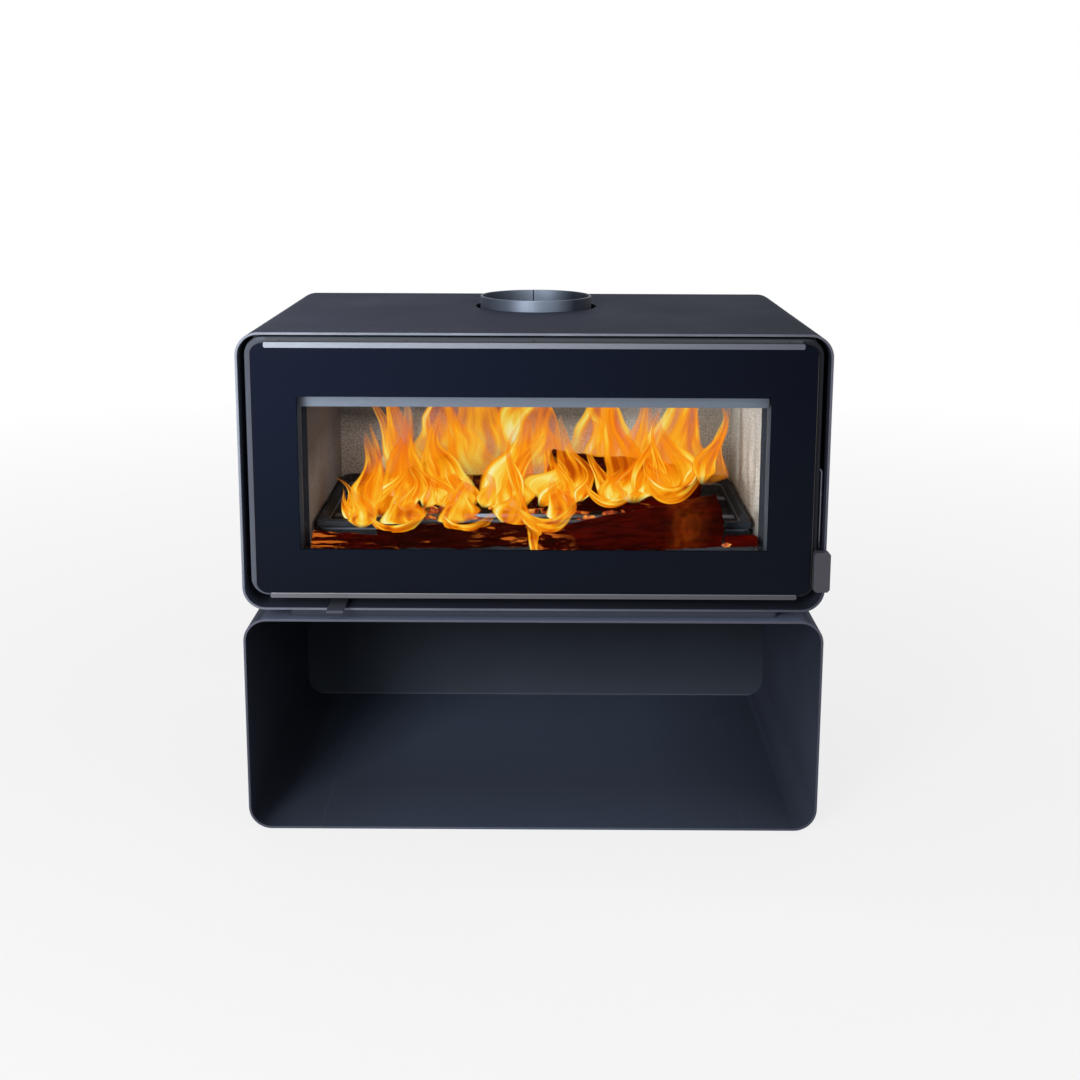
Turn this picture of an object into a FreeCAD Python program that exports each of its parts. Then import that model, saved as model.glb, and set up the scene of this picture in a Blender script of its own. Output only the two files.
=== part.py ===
import FreeCAD, Part
import math
import os

# Free-standing wood burning stove: a steel firebox inside a wrapped casing, standing on an open log store.
# Millimetres. X runs to the right, Y to the back and Z up. The origin lies on the floor, in the middle
# of the casing's width and depth.

# Both boxes
width = 700.0
depth = 450.0
base_height = 270.0
spacer_height = 10.0
casing_height = 337.0
sheet = 3.0
wrap_radius = 28.0
lip_fillet = 0.8
base_lead = 5.0
panel_fit = 0.3

# Log store
base_panel_setback = 12.0
base_panel_flange = 8.0
spacer_inset_side = 55.0
spacer_setback = 8.0
spacer_bar = 20.0
spacer_radius = 6.0

# Casing
vent_length = 40.0
vent_height = 5.0
vent_pitch_x = 56.0
vent_pitch_z = 12.0
vent_columns = 9
vent_rows = 4
vent_margin = 26.0
tab_width = 22.0
tab_leg = 14.0
tab_from_corner = 70.0
panel_setback = 4.0
panel_sheet = 2.0

# Door
door_side_gap = 7.0
door_top_gap = 3.0
door_bottom_gap = 14.0
door_radius = 21.0
door_sheet = 2.0
web_sheet = 4.0
web_front = 6.0
door_flange_depth = 24.0
door_edge_fillet = 2.2

# Door glass
glass_side_inset = 7.0
glass_top_inset = 7.0
glass_bottom_inset = 4.0
glass_thickness = 4.0
glass_radius = 14.0
glass_edge = 0.5
tape_thickness = 0.9
tape_width = 12.0
tape_inset = 2.0
border_side = 53.5
border_top = 63.0
border_bottom = 54.0
web_window_margin = 7.5
window_radius = 4.0
clip_inset = 24.0
clip_sheet = 1.4
clip_lap = 5.0
clip_bottom_lap = 0.6
clip_gap = 0.1
clip_lip_radius = 2.0
clip_flange = 4.4
clip_shelf_back = 20.0
clip_screws_each = 5
clip_screw_r = 1.25
clip_screw_head_r = 2.0
clip_screw_head = 1.4

# Rope seal
rope_r = 7.0
rope_inset_side = 34.0
rope_inset_top = 34.0
rope_inset_bottom = 25.0
rope_radius = 20.0
rope_clearance = 0.3
channel_sheet = 2.0
channel_base = 9.0
channel_height = 17.0

# Firebox
convection_gap = 42.0
firebox_sheet = 5.0
firebox_front_sheet = 5.0
firebox_plate = 6.0
underfloor = 33.0
overhead = 24.0
firebox_rear_gap = 70.0
opening_margin = 0.5
front_plate_side_gap = 9.0
front_plate_lift = 16.0
front_plate_top_gap = 0.5
front_corner_step = 7.0
opening_lift = 11.0
opening_head = 4.0

# Firebox lining
liner = 25.0
liner_gap = 0.5
liner_back_setback = 120.0
liner_front = 46.0
brick = 25.0
brick_columns = 3
brick_rows = 2
baffle = 15.0
baffle_height = 198.0
baffle_throat = 60.0
baffle_bar = 10.0

# Firebed tray
tray_front = 66.0
tray_side_gap = 6.0
tray_height = 28.0
tray_base = 6.0
tray_rim = 5.0
tray_slope = 12.0
tray_radius = 16.0
tray_bead = 4.0
tray_bead_height = 8.0
tray_rib_height = 11.0
tray_rib_width = 16.0
tray_rib_fillet = 2.0
tray_rib_places = (0.24, 0.62)

# Air path
ledge_sheet = 3.0
ledge_lift = 5.0
wash_sheet = 2.0
wash_depth = 34.0
wash_reach = 9.0
duct_depth = 22.0
duct_setback = 12.0
duct_width = 34.0
duct_sheet = 2.0
duct_foot = 12.0
duct_hole_height = 12.0
rear_duct_width = 300.0
rear_duct_hole_r = 6.0
rear_duct_holes = 7
air_hole_r = 6.0
air_holes = 9
air_box_front = 64.0
air_box_depth = 142.0
air_box_inset = 95.0
slide_sheet = 3.0
slide_lift = 1.2
slide_clearance = 0.4
slide_travel = 60.0
slot_length = 50.0
slot_depth = 64.0
slots = 3
tab_knob_width = 20.0
tab_knob_inset = 114.0
tab_knob_reach = 24.0
tab_knob_fillet = 1.2
runner_width = 12.0
runner_base = 1.0
runner_fence = 2.0

# Flue spigot
flue_r = 75.0
flue_wall = 3.0
flue_rise = 14.3
flue_back_offset = 159.0
flue_flange = 16.0
flue_flange_sheet = 4.0
outlet_clearance = 1.0
casing_hole_clearance = 6.5
spigot_screws = 6

# Hinge
pin_r = 2.5
pin_running = 0.1
pin_fit = 0.02
hinge_x_inset = 15.0
hinge_y = 15.0
lug_inset = 15.0
lug_height = 6.0
lug_gap = 0.4
lug_nose_r = 4.5
lug_bar = 8.0
lug_notch = 1.5
pin_depth = 16.0
hinge_block_height = 20.0
hinge_block_right = 6.0
hinge_block_back = 22.0
hinge_flange_depth = 20.0

# Handle and latch
rod_r = 2.5
rod_bend = 3.2
rod_running = 0.06
rod_x_gap = 3.6
shaft_y = 17.0
shaft_z_above_bottom = 156.0
rod_drop = 118.0
housing_width = 5.5
housing_half = 9.0
knob_width = 19.5
knob_height = 49.0
knob_thickness = 12.0
knob_standoff = 2.0
knob_offset_x = -0.35
knob_chamfer = 3.0
knob_below_rod = 26.0
rod_in_knob = 7.0
hook_sheet = 4.0
hook_hub_r = 6.0
hook_nose = 29.0
hook_nose_half = 4.0
hook_nose_fillet = 2.5
hook_gap = 1.0
nut_width = 4.0
nut_flats = 8.0
catch_gap = 0.8
catch_height = 17.0
catch_depth = 7.0
catch_width = 24.0
catch_edge = 1.0
catch_screw_head_r = 3.6
notch_below = 26.0
notch_above = 7.0
notch_reach = 16.0
catch_screw_r = 2.0

# Fasteners of the stand
bolt_r = 4.0
bolt_clearance = 0.5
bolt_flats = 13.0
bolt_head = 5.3
nut_height = 9.8
nut_cap = 1.5
nut_crown = 2.5
bolt_front = 100.0
bolt_back = 90.0
foot_width = 30.0
foot_length = 44.0
foot_sheet = 4.0
screw_r = 2.0
screw_head_r = 3.8
screw_head = 2.2

# Levels and planes worked out from the sizes above
half = width / 2
front = -depth / 2
back = depth / 2
base_top = base_height
casing_bottom = base_top + spacer_height
casing_top = casing_bottom + casing_height
inner_half = half - sheet
inner_floor = casing_bottom + sheet
inner_ceiling = casing_top - sheet
inner_radius = wrap_radius - sheet

door_half = inner_half - door_side_gap
door_bottom = inner_floor + door_bottom_gap
door_top = inner_ceiling - door_top_gap
web_y = front + web_front
web_back = web_y + web_sheet
glass_half = door_half - glass_side_inset
glass_bottom = door_bottom + glass_bottom_inset
glass_top = door_top - glass_top_inset
glass_back = web_y - tape_thickness
glass_front = glass_back - glass_thickness
window_half = glass_half - border_side
window_bottom = glass_bottom + border_bottom
window_top = glass_top - border_top

rope_half = door_half - rope_inset_side
rope_bottom = door_bottom + rope_inset_bottom
rope_top = door_top - rope_inset_top
channel_back = web_back + channel_height
rope_y = web_back + channel_base + rope_r
front_plate_y = rope_y + rope_r + rope_clearance
front_plate_back = front_plate_y + firebox_front_sheet
front_plate_half = inner_half - front_plate_side_gap
front_plate_bottom = inner_floor + front_plate_lift
front_plate_top = inner_ceiling - front_plate_top_gap
front_radius = inner_radius - front_corner_step
opening_half = window_half + opening_margin
opening_bottom = window_bottom - opening_lift
opening_top = window_top + opening_head

firebox_half = inner_half - convection_gap
firebox_inner = firebox_half - firebox_sheet
firebox_floor_bottom = inner_floor + underfloor
firebox_floor_top = firebox_floor_bottom + firebox_plate
firebox_top = inner_ceiling - overhead
firebox_roof = firebox_top - firebox_plate
firebox_back = back - firebox_rear_gap
firebox_inner_back = firebox_back - firebox_sheet
liner_half = firebox_inner - liner_gap - liner
hearth = firebox_floor_top + brick
lining_front = front + liner_front
lining_back = back - liner_back_setback
baffle_bottom = hearth + baffle_height

flue_y = back - flue_back_offset
flue_top = casing_top + flue_rise

hinge_x = -door_half + hinge_x_inset
hinge_axis_y = front + hinge_y
shaft_axis_y = front + shaft_y
shaft_z = door_bottom + shaft_z_above_bottom
rod_x = door_half + rod_x_gap
rod_end_z = shaft_z - rod_drop
housing_x0 = door_half - door_sheet - housing_width
hook_x0 = housing_x0 - hook_gap - hook_sheet
nut_x0 = hook_x0 - nut_width
shaft_bore_r = rod_r + rod_running

bolt_x = half - spacer_inset_side - spacer_bar / 2
bolt_ys = (front + bolt_front, back - bolt_back)
bolt_places = [(side * bolt_x, y) for side in (-1, 1) for y in bolt_ys]

slide_bottom = inner_floor + slide_lift
slide_top = slide_bottom + slide_sheet
air_box_half = half - air_box_inset
air_box_bottom = slide_top + slide_clearance
air_y0 = front + air_box_front
air_y1 = air_y0 + air_box_depth
tab_x = -half + tab_knob_inset
slot_pitch = 2 * (air_box_half - slide_travel) / (slots + 1)
slot_xs = [(i - (slots - 1) / 2) * slot_pitch for i in range(slots)]

X = FreeCAD.Vector(1, 0, 0)
Y = FreeCAD.Vector(0, 1, 0)
Z = FreeCAD.Vector(0, 0, 1)


def box(x0, x1, y0, y1, z0, z1):
    """A block between two corners."""
    return Part.makeBox(x1 - x0, y1 - y0, z1 - z0, FreeCAD.Vector(x0, y0, z0))


def rod(r, length, x, y, z, axis):
    """A round bar that starts at a point and runs along an axis."""
    return Part.makeCylinder(r, length, FreeCAD.Vector(x, y, z), axis)


def along(shape, axis):
    """The straight edges of a shape that run along an axis."""
    picked = []
    for edge in shape.Edges:
        if edge.Curve.TypeId != "Part::GeomLine":
            continue
        if abs(edge.tangentAt(edge.FirstParameter).dot(axis)) > 0.999:
            picked.append(edge)
    return picked


def in_plane(shape, axis, value):
    """The edges of a shape that lie wholly in the plane at one value of an axis."""
    picked = []
    for edge in shape.Edges:
        box_of_edge = edge.BoundBox
        low = FreeCAD.Vector(box_of_edge.XMin, box_of_edge.YMin, box_of_edge.ZMin).dot(axis)
        high = FreeCAD.Vector(box_of_edge.XMax, box_of_edge.YMax, box_of_edge.ZMax).dot(axis)
        if abs(low - value) < 0.01 and abs(high - value) < 0.01:
            picked.append(edge)
    return picked


def slab(half_x, z0, z1, radius, y0, y1):
    """A plate facing front, centred on X, with rounded corners."""
    plate = box(-half_x, half_x, y0, y1, z0, z1)
    return plate.makeFillet(radius, along(plate, Y))


def frame_of(half_x, z0, z1, radius, grow, shrink, y0, y1):
    """A rounded frame about a centre line: grow outwards and shrink inwards."""
    outer = slab(half_x + grow, z0 - grow, z1 + grow, radius + grow, y0, y1)
    inner = slab(half_x - shrink, z0 + shrink, z1 - shrink, radius - shrink, y0 - 1, y1 + 1)
    return outer.cut(inner)


def hex_prism(flats, height, x, y, z, axis):
    """A hexagon head or nut that starts at a point and runs along an axis."""
    corner_r = flats / math.sqrt(3)
    across = X if axis.dot(X) == 0 else Z
    other = axis.cross(across)
    centre = FreeCAD.Vector(x, y, z)
    corners = []
    for i in range(7):
        angle = math.radians(60 * i)
        spoke = across * math.cos(angle) + other * math.sin(angle)
        corners.append(centre + spoke * corner_r)
    return Part.Face(Part.makePolygon(corners)).extrude(axis * height)


def save(node, *solids):
    """Write one node, as one solid or as a group of separate solids."""
    shape = solids[0] if len(solids) == 1 else Part.makeCompound(list(solids))
    shape.exportStep("parts/" + node + ".step")


def mirrored(shape):
    """The same shape on the other side of the middle plane."""
    return shape.mirror(FreeCAD.Vector(0, 0, 0), X)


# Log store

def wrap(z0, z1, y0, y1):
    """A folded steel sleeve, open at the front and the back, with softened front edges."""
    outer = slab(half, z0, z1, wrap_radius, y0, y1)
    inner = slab(inner_half, z0 + sheet, z1 - sheet, inner_radius, y0 - 1, y1 + 1)
    sleeve = outer.cut(inner)
    return sleeve.makeFillet(lip_fillet, in_plane(sleeve, Y, y0))


def bolt_holes(z0, z1):
    """Clearance holes for the bolts that hold the two boxes together."""
    r = bolt_r + bolt_clearance
    return Part.makeCompound([rod(r, z1 - z0, x, y, z0, Z) for x, y in bolt_places])


def make_base_casing():
    sleeve = wrap(0, base_top, front - base_lead, back)
    return sleeve.cut(bolt_holes(base_top - sheet - 1, base_top + 1))


def make_base_back_panel():
    """A tray-shaped panel set into the log store, with its flanges turned to the back."""
    y0 = back - base_panel_setback
    y1 = y0 + sheet + base_panel_flange
    fit = panel_fit
    outer = slab(inner_half - fit, sheet + fit, base_top - sheet - fit, inner_radius - fit, y0, y1)
    wall = fit + sheet
    z0, z1 = sheet + wall, base_top - sheet - wall
    return outer.cut(slab(inner_half - wall, z0, z1, inner_radius - wall, y0 + sheet, y1 + 1))


def make_base_spacer():
    """A flat ring that lifts the casing off the log store."""
    x = half - spacer_inset_side
    y0 = front + spacer_setback
    y1 = back - spacer_setback
    outer = box(-x, x, y0, y1, base_top, casing_bottom)
    outer = outer.makeFillet(spacer_radius, along(outer, Z))
    bar = spacer_bar
    inner = box(-x + bar, x - bar, y0 + bar, y1 - bar, base_top - 1, casing_bottom + 1)
    return outer.cut(inner).cut(bolt_holes(base_top - 1, casing_bottom + 1))


def make_base_bolts():
    """Hexagon bolts from inside the casing down into the log store."""
    bolts = []
    seat = inner_floor + foot_sheet
    tip = base_top - sheet - nut_height + nut_cap
    for x, y in bolt_places:
        shank = rod(bolt_r, seat - tip, x, y, tip, Z)
        bolts.append(shank.fuse(hex_prism(bolt_flats, bolt_head, x, y, seat, Z)).removeSplitter())
    return bolts


def make_base_nuts():
    """Cap nuts, so that no bolt end stands out over the logs."""
    nuts = []
    z0 = base_top - sheet - nut_height
    for x, y in bolt_places:
        nut = hex_prism(bolt_flats, nut_height - nut_crown, x, y, z0 + nut_crown, Z)
        crown = rod(bolt_flats / 2, nut_crown + 1, x, y, z0, Z)
        crown = crown.makeFillet(0.9 * nut_crown, in_plane(crown, Z, z0))
        bore = rod(bolt_r + pin_fit, nut_height, x, y, z0 + nut_cap, Z)
        nuts.append(nut.fuse(crown).removeSplitter().cut(bore))
    return nuts


# Casing

def make_outer_casing():
    sleeve = wrap(casing_bottom, casing_top, front, back)
    flue_hole = rod(flue_r + casing_hole_clearance, 3 * sheet, 0, flue_y, inner_ceiling - sheet, Z)
    return sleeve.cut(flue_hole).cut(bolt_holes(casing_bottom - 1, inner_floor + 1))


def tab_places():
    """The rear panel's fixing places: x, z and the direction out to the casing's wall."""
    places = []
    for side in (-1, 1):
        for z in (inner_floor + tab_from_corner, inner_ceiling - tab_from_corner):
            places.append((side * inner_half, z, side, 0))
        for x in (-half / 2, half / 2):
            z = inner_floor if side < 0 else inner_ceiling
            places.append((x, z, 0, side))
    return places


def panel_front():
    """The plane where the rear panel's sheet starts."""
    return back - panel_setback - panel_sheet


def tab_screw_place(x, z, out_x, out_z):
    """The middle of a fixing tab's face."""
    return x - out_x * tab_leg / 2, z - out_z * tab_leg / 2


def make_casing_tabs():
    """Angle tabs inside the casing's rear edge that carry the rear panel."""
    tabs = []
    y1 = panel_front()
    w = tab_width / 2
    for x, z, out_x, out_z in tab_places():
        if out_x:
            x0, x1 = sorted((x, x - out_x * tab_leg))
            leg_x0, leg_x1 = sorted((x, x - out_x * panel_sheet))
            face = box(x0, x1, y1 - panel_sheet, y1, z - w, z + w)
            leg = box(leg_x0, leg_x1, y1 - tab_leg, y1, z - w, z + w)
        else:
            z0, z1 = sorted((z, z - out_z * tab_leg))
            leg_z0, leg_z1 = sorted((z, z - out_z * panel_sheet))
            face = box(x - w, x + w, y1 - panel_sheet, y1, z0, z1)
            leg = box(x - w, x + w, y1 - tab_leg, y1, leg_z0, leg_z1)
        sx, sz = tab_screw_place(x, z, out_x, out_z)
        hole = rod(screw_r + pin_fit, 3 * panel_sheet, sx, y1 - 2 * panel_sheet, sz, Y)
        tabs.append(face.fuse(leg).removeSplitter().cut(hole))
    return tabs


def make_casing_back_panel():
    """The rear sheet, with rows of convection slots along the bottom and the top."""
    y0 = panel_front()
    fit = panel_fit
    z0, z1 = inner_floor + fit, inner_ceiling - fit
    plate = slab(inner_half - fit, z0, z1, inner_radius - fit, y0, y0 + panel_sheet)
    cuts = []
    for column in range(vent_columns):
        x = (column - (vent_columns - 1) / 2) * vent_pitch_x
        for row in range(vent_rows):
            for z in (z0 + vent_margin + row * vent_pitch_z, z1 - vent_margin - row * vent_pitch_z):
                slot = box(x - vent_length / 2, x + vent_length / 2, y0 - 1, y0 + panel_sheet + 1,
                           z - vent_height / 2, z + vent_height / 2)
                cuts.append(slot.makeFillet(vent_height / 2 - 0.05, along(slot, Y)))
    for place in tab_places():
        sx, sz = tab_screw_place(*place)
        cuts.append(rod(screw_r + bolt_clearance, 3 * panel_sheet, sx, y0 - panel_sheet, sz, Y))
    return plate.cut(Part.makeCompound(cuts))


def make_casing_panel_screws():
    screws = []
    y1 = panel_front() + panel_sheet
    for place in tab_places():
        sx, sz = tab_screw_place(*place)
        shank = rod(screw_r, 3 * panel_sheet, sx, y1 - 3 * panel_sheet, sz, Y)
        head = rod(screw_head_r, screw_head, sx, y1, sz, Y)
        head = head.makeFillet(screw_head / 2, in_plane(head, Y, y1 + screw_head))
        screws.append(shank.fuse(head).removeSplitter())
    return screws


def make_firebox_feet():
    """Folded brackets that stand the firebox on the casing's floor."""
    feet = []
    for x, y in bolt_places:
        side = 1 if x > 0 else -1
        inner_edge = abs(x) - foot_width / 2
        outer_edge = abs(x) + foot_width / 2
        y0, y1 = y - foot_length / 2, y + foot_length / 2
        sole = box(inner_edge, outer_edge, y0, y1, inner_floor, inner_floor + foot_sheet)
        web = box(outer_edge - foot_sheet, outer_edge, y0, y1, inner_floor, firebox_floor_bottom)
        top = box(inner_edge, outer_edge, y0, y1, firebox_floor_bottom - foot_sheet, firebox_floor_bottom)
        hole = rod(bolt_r + bolt_clearance, 3 * foot_sheet, abs(x), y, inner_floor - foot_sheet, Z)
        foot = sole.fuse([web, top]).removeSplitter().cut(hole)
        feet.append(foot if side > 0 else mirrored(foot))
    return feet


# Firebox

def make_firebox_floor():
    z0, z1 = firebox_floor_bottom, firebox_floor_top
    plate = box(-firebox_half, firebox_half, front_plate_back, firebox_back, z0, z1)
    holes = []
    pitch = 2 * (air_box_half - 4 * air_hole_r) / (air_holes - 1)
    for i in range(air_holes):
        x = (i - (air_holes - 1) / 2) * pitch
        holes.append(rod(air_hole_r, 3 * firebox_plate, x, air_y0 + 2 * air_hole_r, z0 - firebox_plate, Z))
    return plate.cut(Part.makeCompound(holes))


def wash_duct_hole():
    """The hole in a firebox side where the air-wash duct enters, on the right."""
    y0 = front_plate_back + duct_setback + duct_sheet
    y1 = front_plate_back + wash_depth - wash_sheet
    z1 = firebox_roof - duct_sheet
    return box(firebox_inner - 1, firebox_half + 1, y0, y1, z1 - duct_hole_height, z1)


def make_firebox_side():
    """The right side plate."""
    z0, z1 = firebox_floor_top, firebox_roof
    plate = box(firebox_inner, firebox_half, front_plate_back, firebox_inner_back, z0, z1)
    return plate.cut(wash_duct_hole())


def make_firebox_back():
    z0, z1 = firebox_floor_top, firebox_roof
    plate = box(-firebox_half, firebox_half, firebox_inner_back, firebox_back, z0, z1)
    holes = []
    for x in rear_hole_xs():
        holes.append(rod(rear_duct_hole_r, 3 * firebox_sheet, x, firebox_inner_back - firebox_sheet,
                         hearth + 2 * rear_duct_hole_r, Y))
    return plate.cut(Part.makeCompound(holes))


def make_firebox_top():
    plate = box(-firebox_half, firebox_half, front_plate_back, firebox_back, firebox_roof, firebox_top)
    below = firebox_roof - firebox_plate
    outlet_r = flue_r - flue_wall + outlet_clearance
    holes = [rod(outlet_r, 3 * firebox_plate, 0, flue_y, below, Z)]
    for x, y in spigot_screw_places():
        holes.append(rod(screw_r + pin_fit, 3 * firebox_plate, x, y, below, Z))
    return plate.cut(Part.makeCompound(holes))


def make_firebox_front():
    """The front plate that the door closes on, notched where the latch hook goes through."""
    y0, y1 = front_plate_y, front_plate_back
    plate = slab(front_plate_half, front_plate_bottom, front_plate_top, front_radius, y0, y1)
    opening = slab(opening_half, opening_bottom, opening_top, window_radius, y0 - 1, y1 + 1)
    notch = box(front_plate_half - notch_reach, front_plate_half + 1, y0 - 1, y1 + 1,
                shaft_z - notch_below, shaft_z + notch_above)
    return plate.cut(opening).cut(notch)


def make_liner_side():
    """The right lining board."""
    y0, y1 = lining_front, lining_back - liner_gap
    return box(liner_half, liner_half + liner, y0, y1, hearth + liner_gap, baffle_bottom)


def make_liner_back():
    x = liner_half + liner
    return box(-x, x, lining_back, lining_back + liner, hearth + liner_gap, baffle_bottom)


def make_floor_bricks():
    """Firebricks that cover the firebox floor in a grid."""
    bricks = []
    x0 = -firebox_inner + liner_gap
    y0 = lining_front
    pitch_x = 2 * (firebox_inner - liner_gap) / brick_columns
    pitch_y = (lining_back + liner - y0) / brick_rows
    for column in range(brick_columns):
        for row in range(brick_rows):
            left = x0 + column * pitch_x + liner_gap / 2
            near = y0 + row * pitch_y
            right, far = left + pitch_x - liner_gap, near + pitch_y - liner_gap
            bricks.append(box(left, right, near, far, firebox_floor_top, hearth))
    return bricks


def make_baffle_supports():
    """Bars on the side plates that carry the baffle, above the side boards."""
    bar = box(firebox_inner - baffle_bar, firebox_inner, front + baffle_throat + wash_depth, lining_back,
              baffle_bottom, baffle_bottom + baffle_bar / 2)
    return [bar, mirrored(bar)]


def make_baffle_plate():
    """The board that turns the smoke forward before it leaves."""
    x = firebox_inner - liner_gap
    z0 = baffle_bottom + baffle_bar / 2
    return box(-x, x, front + baffle_throat + wash_depth, lining_back + liner, z0, z0 + baffle)


def make_firebed_tray():
    """A cast tray with sloping walls, a beaded rim and two cross ribs."""
    x = liner_half - tray_side_gap
    y0, y1 = front + tray_front, lining_back - tray_side_gap
    z1 = hearth + tray_height
    body = box(-x, x, y0, y1, hearth, z1)
    body = body.makeFillet(tray_radius, along(body, Z))
    bead = box(-x, x, y0 - tray_bead, y0 + tray_radius, z1 - tray_bead_height, z1)
    bead = bead.makeFillet(tray_bead_height / 4, along(bead, X) + along(bead, Z))
    body = body.fuse(bead).removeSplitter()
    body = body.cut(tray_hollow(x, y0, y1, z1))
    ribs = []
    for place in tray_rib_places:
        y = y0 + place * (y1 - y0)
        z0 = hearth + tray_base
        z1 = z0 + tray_rib_height
        rib = box(-x + tray_slope, x - tray_slope, y, y + tray_rib_width, z0 - 1, z1)
        ribs.append(rib.makeFillet(tray_rib_fillet, in_plane(rib, Z, z1)))
    return body.fuse(ribs).removeSplitter()


def tray_hollow(x, y0, y1, z1):
    """The tray's inside, narrower at the bottom than at the rim."""
    sections = []
    for z, inset in ((hearth + tray_base, tray_slope), (z1 + 0.01, tray_rim)):
        plate = box(-x + inset, x - inset, y0 + inset, y1 - inset, z, z + 1)
        plate = plate.makeFillet(tray_radius - tray_rim, along(plate, Z))
        face = [f for f in plate.Faces if abs(f.BoundBox.ZMax - z) < 0.001][0]
        sections.append(face.OuterWire)
    return Part.makeLoft(sections, True)


def make_front_ledge():
    """The folded sill between the front plate and the tray, over the first air holes."""
    top = hearth + ledge_lift - ledge_sheet
    x = liner_half - tray_side_gap
    y0, y1 = front_plate_back + liner_gap, front + tray_front - tray_bead - liner_gap
    sill = box(-x, x, y0, y1, top, top + ledge_sheet)
    skirt = box(-x, x, y0, y0 + ledge_sheet, firebox_floor_top, top)
    sill = sill.fuse(skirt).removeSplitter()
    return sill.makeFillet(ledge_sheet / 2, [e for e in in_plane(sill, Y, y0) if e.BoundBox.ZMin > top + 1])


# Air path

def wash_level():
    """The underside of the air-wash lip, a little below the clear window's upper edge."""
    return window_top - border_top / 4


def make_air_wash_channel():
    """A folded channel over the opening that turns air down the back of the glass."""
    x = liner_half - liner_gap
    lip_x = opening_half - liner_gap
    lip_y = front_plate_y - wash_reach
    rear_y = front_plate_back + wash_depth
    top = opening_top - liner_gap
    shelf = box(-x, x, lip_y, rear_y, top - wash_sheet, top)
    lip = box(-lip_x, lip_x, lip_y, lip_y + wash_sheet, wash_level(), top)
    rear = box(-x, x, rear_y - wash_sheet, rear_y, top - wash_sheet, firebox_roof)
    fold = shelf.fuse([lip, rear]).removeSplitter()
    upper = [e for e in in_plane(fold, Y, lip_y) if e.BoundBox.ZMin > top - 0.5]
    return fold.makeFillet(wash_sheet * 0.8, upper)


def make_air_wash_ducts():
    """Folded ducts on the outside of the firebox that carry warm air up to the air-wash channel."""
    y0 = front_plate_back + duct_setback
    z0, z1 = firebox_floor_top + duct_foot, firebox_roof
    outer = box(firebox_half, firebox_half + duct_depth, y0, y0 + duct_width, z0, z1)
    hollow = box(firebox_half - 1, firebox_half + duct_depth - duct_sheet, y0 + duct_sheet,
                 y0 + duct_width - duct_sheet, z0 - 1, z1 - duct_sheet)
    duct = outer.cut(hollow)
    return [duct, mirrored(duct)]


def rear_hole_xs():
    """The places of the air holes of the rear duct."""
    pitch = (rear_duct_width - 6 * rear_duct_hole_r) / (rear_duct_holes - 1)
    return [(i - (rear_duct_holes - 1) / 2) * pitch for i in range(rear_duct_holes)]


def make_rear_air_duct():
    """A folded duct behind the back board, with air holes near its top."""
    x = rear_duct_width / 2
    y0 = lining_back + liner + liner_gap
    z0, z1 = firebox_floor_top, baffle_bottom - liner_gap
    outer = box(-x, x, y0, firebox_inner_back, z0, z1)
    wall = duct_sheet
    hollow = box(-x + wall, x - wall, y0 + wall, firebox_inner_back + 1, z0 - 1, z1 - wall)
    holes = [rod(rear_duct_hole_r / 2, 3 * duct_sheet, hx, y0 - duct_sheet, z1 - 4 * rear_duct_hole_r, Y)
             for hx in rear_hole_xs()]
    return outer.cut(hollow).cut(Part.makeCompound(holes))


def slot_cutters(z0, z1):
    """The air slots that the slide opens and closes."""
    y = (air_y0 + air_y1) / 2
    cutters = []
    for x in slot_xs:
        slot = box(x - slot_length / 2, x + slot_length / 2, y - slot_depth / 2, y + slot_depth / 2, z0, z1)
        cutters.append(slot.makeFillet(2 * slide_sheet, along(slot, Z)))
    return Part.makeCompound(cutters)


def make_air_box():
    """The folded box under the firebox floor, with the air slots in its bottom."""
    outer = box(-air_box_half, air_box_half, air_y0, air_y1, air_box_bottom, firebox_floor_bottom)
    wall = duct_sheet
    hollow = box(-air_box_half + wall, air_box_half - wall, air_y0 + wall, air_y1 - wall,
                 air_box_bottom + wall, firebox_floor_bottom + 1)
    return outer.cut(hollow).cut(slot_cutters(air_box_bottom - 1, air_box_bottom + wall + 1))


def slide_ends():
    """The slide's left and right ends at rest."""
    return tab_x - tab_knob_width / 2, air_box_half - slide_travel - slide_clearance


def make_air_slide():
    """The slotted plate, and the tab that reaches out under the door."""
    x0, x1 = slide_ends()
    y0 = air_y0 + runner_fence + slide_clearance
    y1 = air_y1 - runner_fence - slide_clearance
    plate = box(x0, x1, y0, y1, slide_bottom, slide_top)
    plate = plate.cut(slot_cutters(slide_bottom - 1, slide_top + 1))
    tab = box(x0, x0 + tab_knob_width, front - tab_knob_reach, y0 + 1, slide_bottom, slide_top)
    tab_front = in_plane(tab, Y, front - tab_knob_reach)
    tab = tab.makeFillet(tab_knob_fillet, [e for e in tab_front if e.BoundBox.ZMin > slide_top - 0.01])
    return plate.fuse(tab).removeSplitter()


def make_slide_runners():
    """Flat strips under the slide's long edges, each with a fence that guides it."""
    x0, x1 = slide_ends()
    low, high = inner_floor, inner_floor + runner_base
    fence_top = slide_top
    near = box(x0, x1 + slide_travel, air_y0, air_y0 + runner_width, low, high)
    open_to = x0 + tab_knob_width + slide_travel + 2 * slide_clearance
    near_fence = box(open_to, x1 + slide_travel, air_y0, air_y0 + runner_fence, low, fence_top)
    far = box(x0, x1 + slide_travel, air_y1 - runner_width, air_y1, low, high)
    far_fence = box(x0, x1 + slide_travel, air_y1 - runner_fence, air_y1, low, fence_top)
    return [near.fuse(near_fence).removeSplitter(), far.fuse(far_fence).removeSplitter()]


# Flue spigot

def spigot_screw_places():
    r = flue_r + flue_flange / 2
    angles = [math.pi * (2 * i + 1) / spigot_screws for i in range(spigot_screws)]
    return [(r * math.cos(a), flue_y + r * math.sin(a)) for a in angles]


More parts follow.
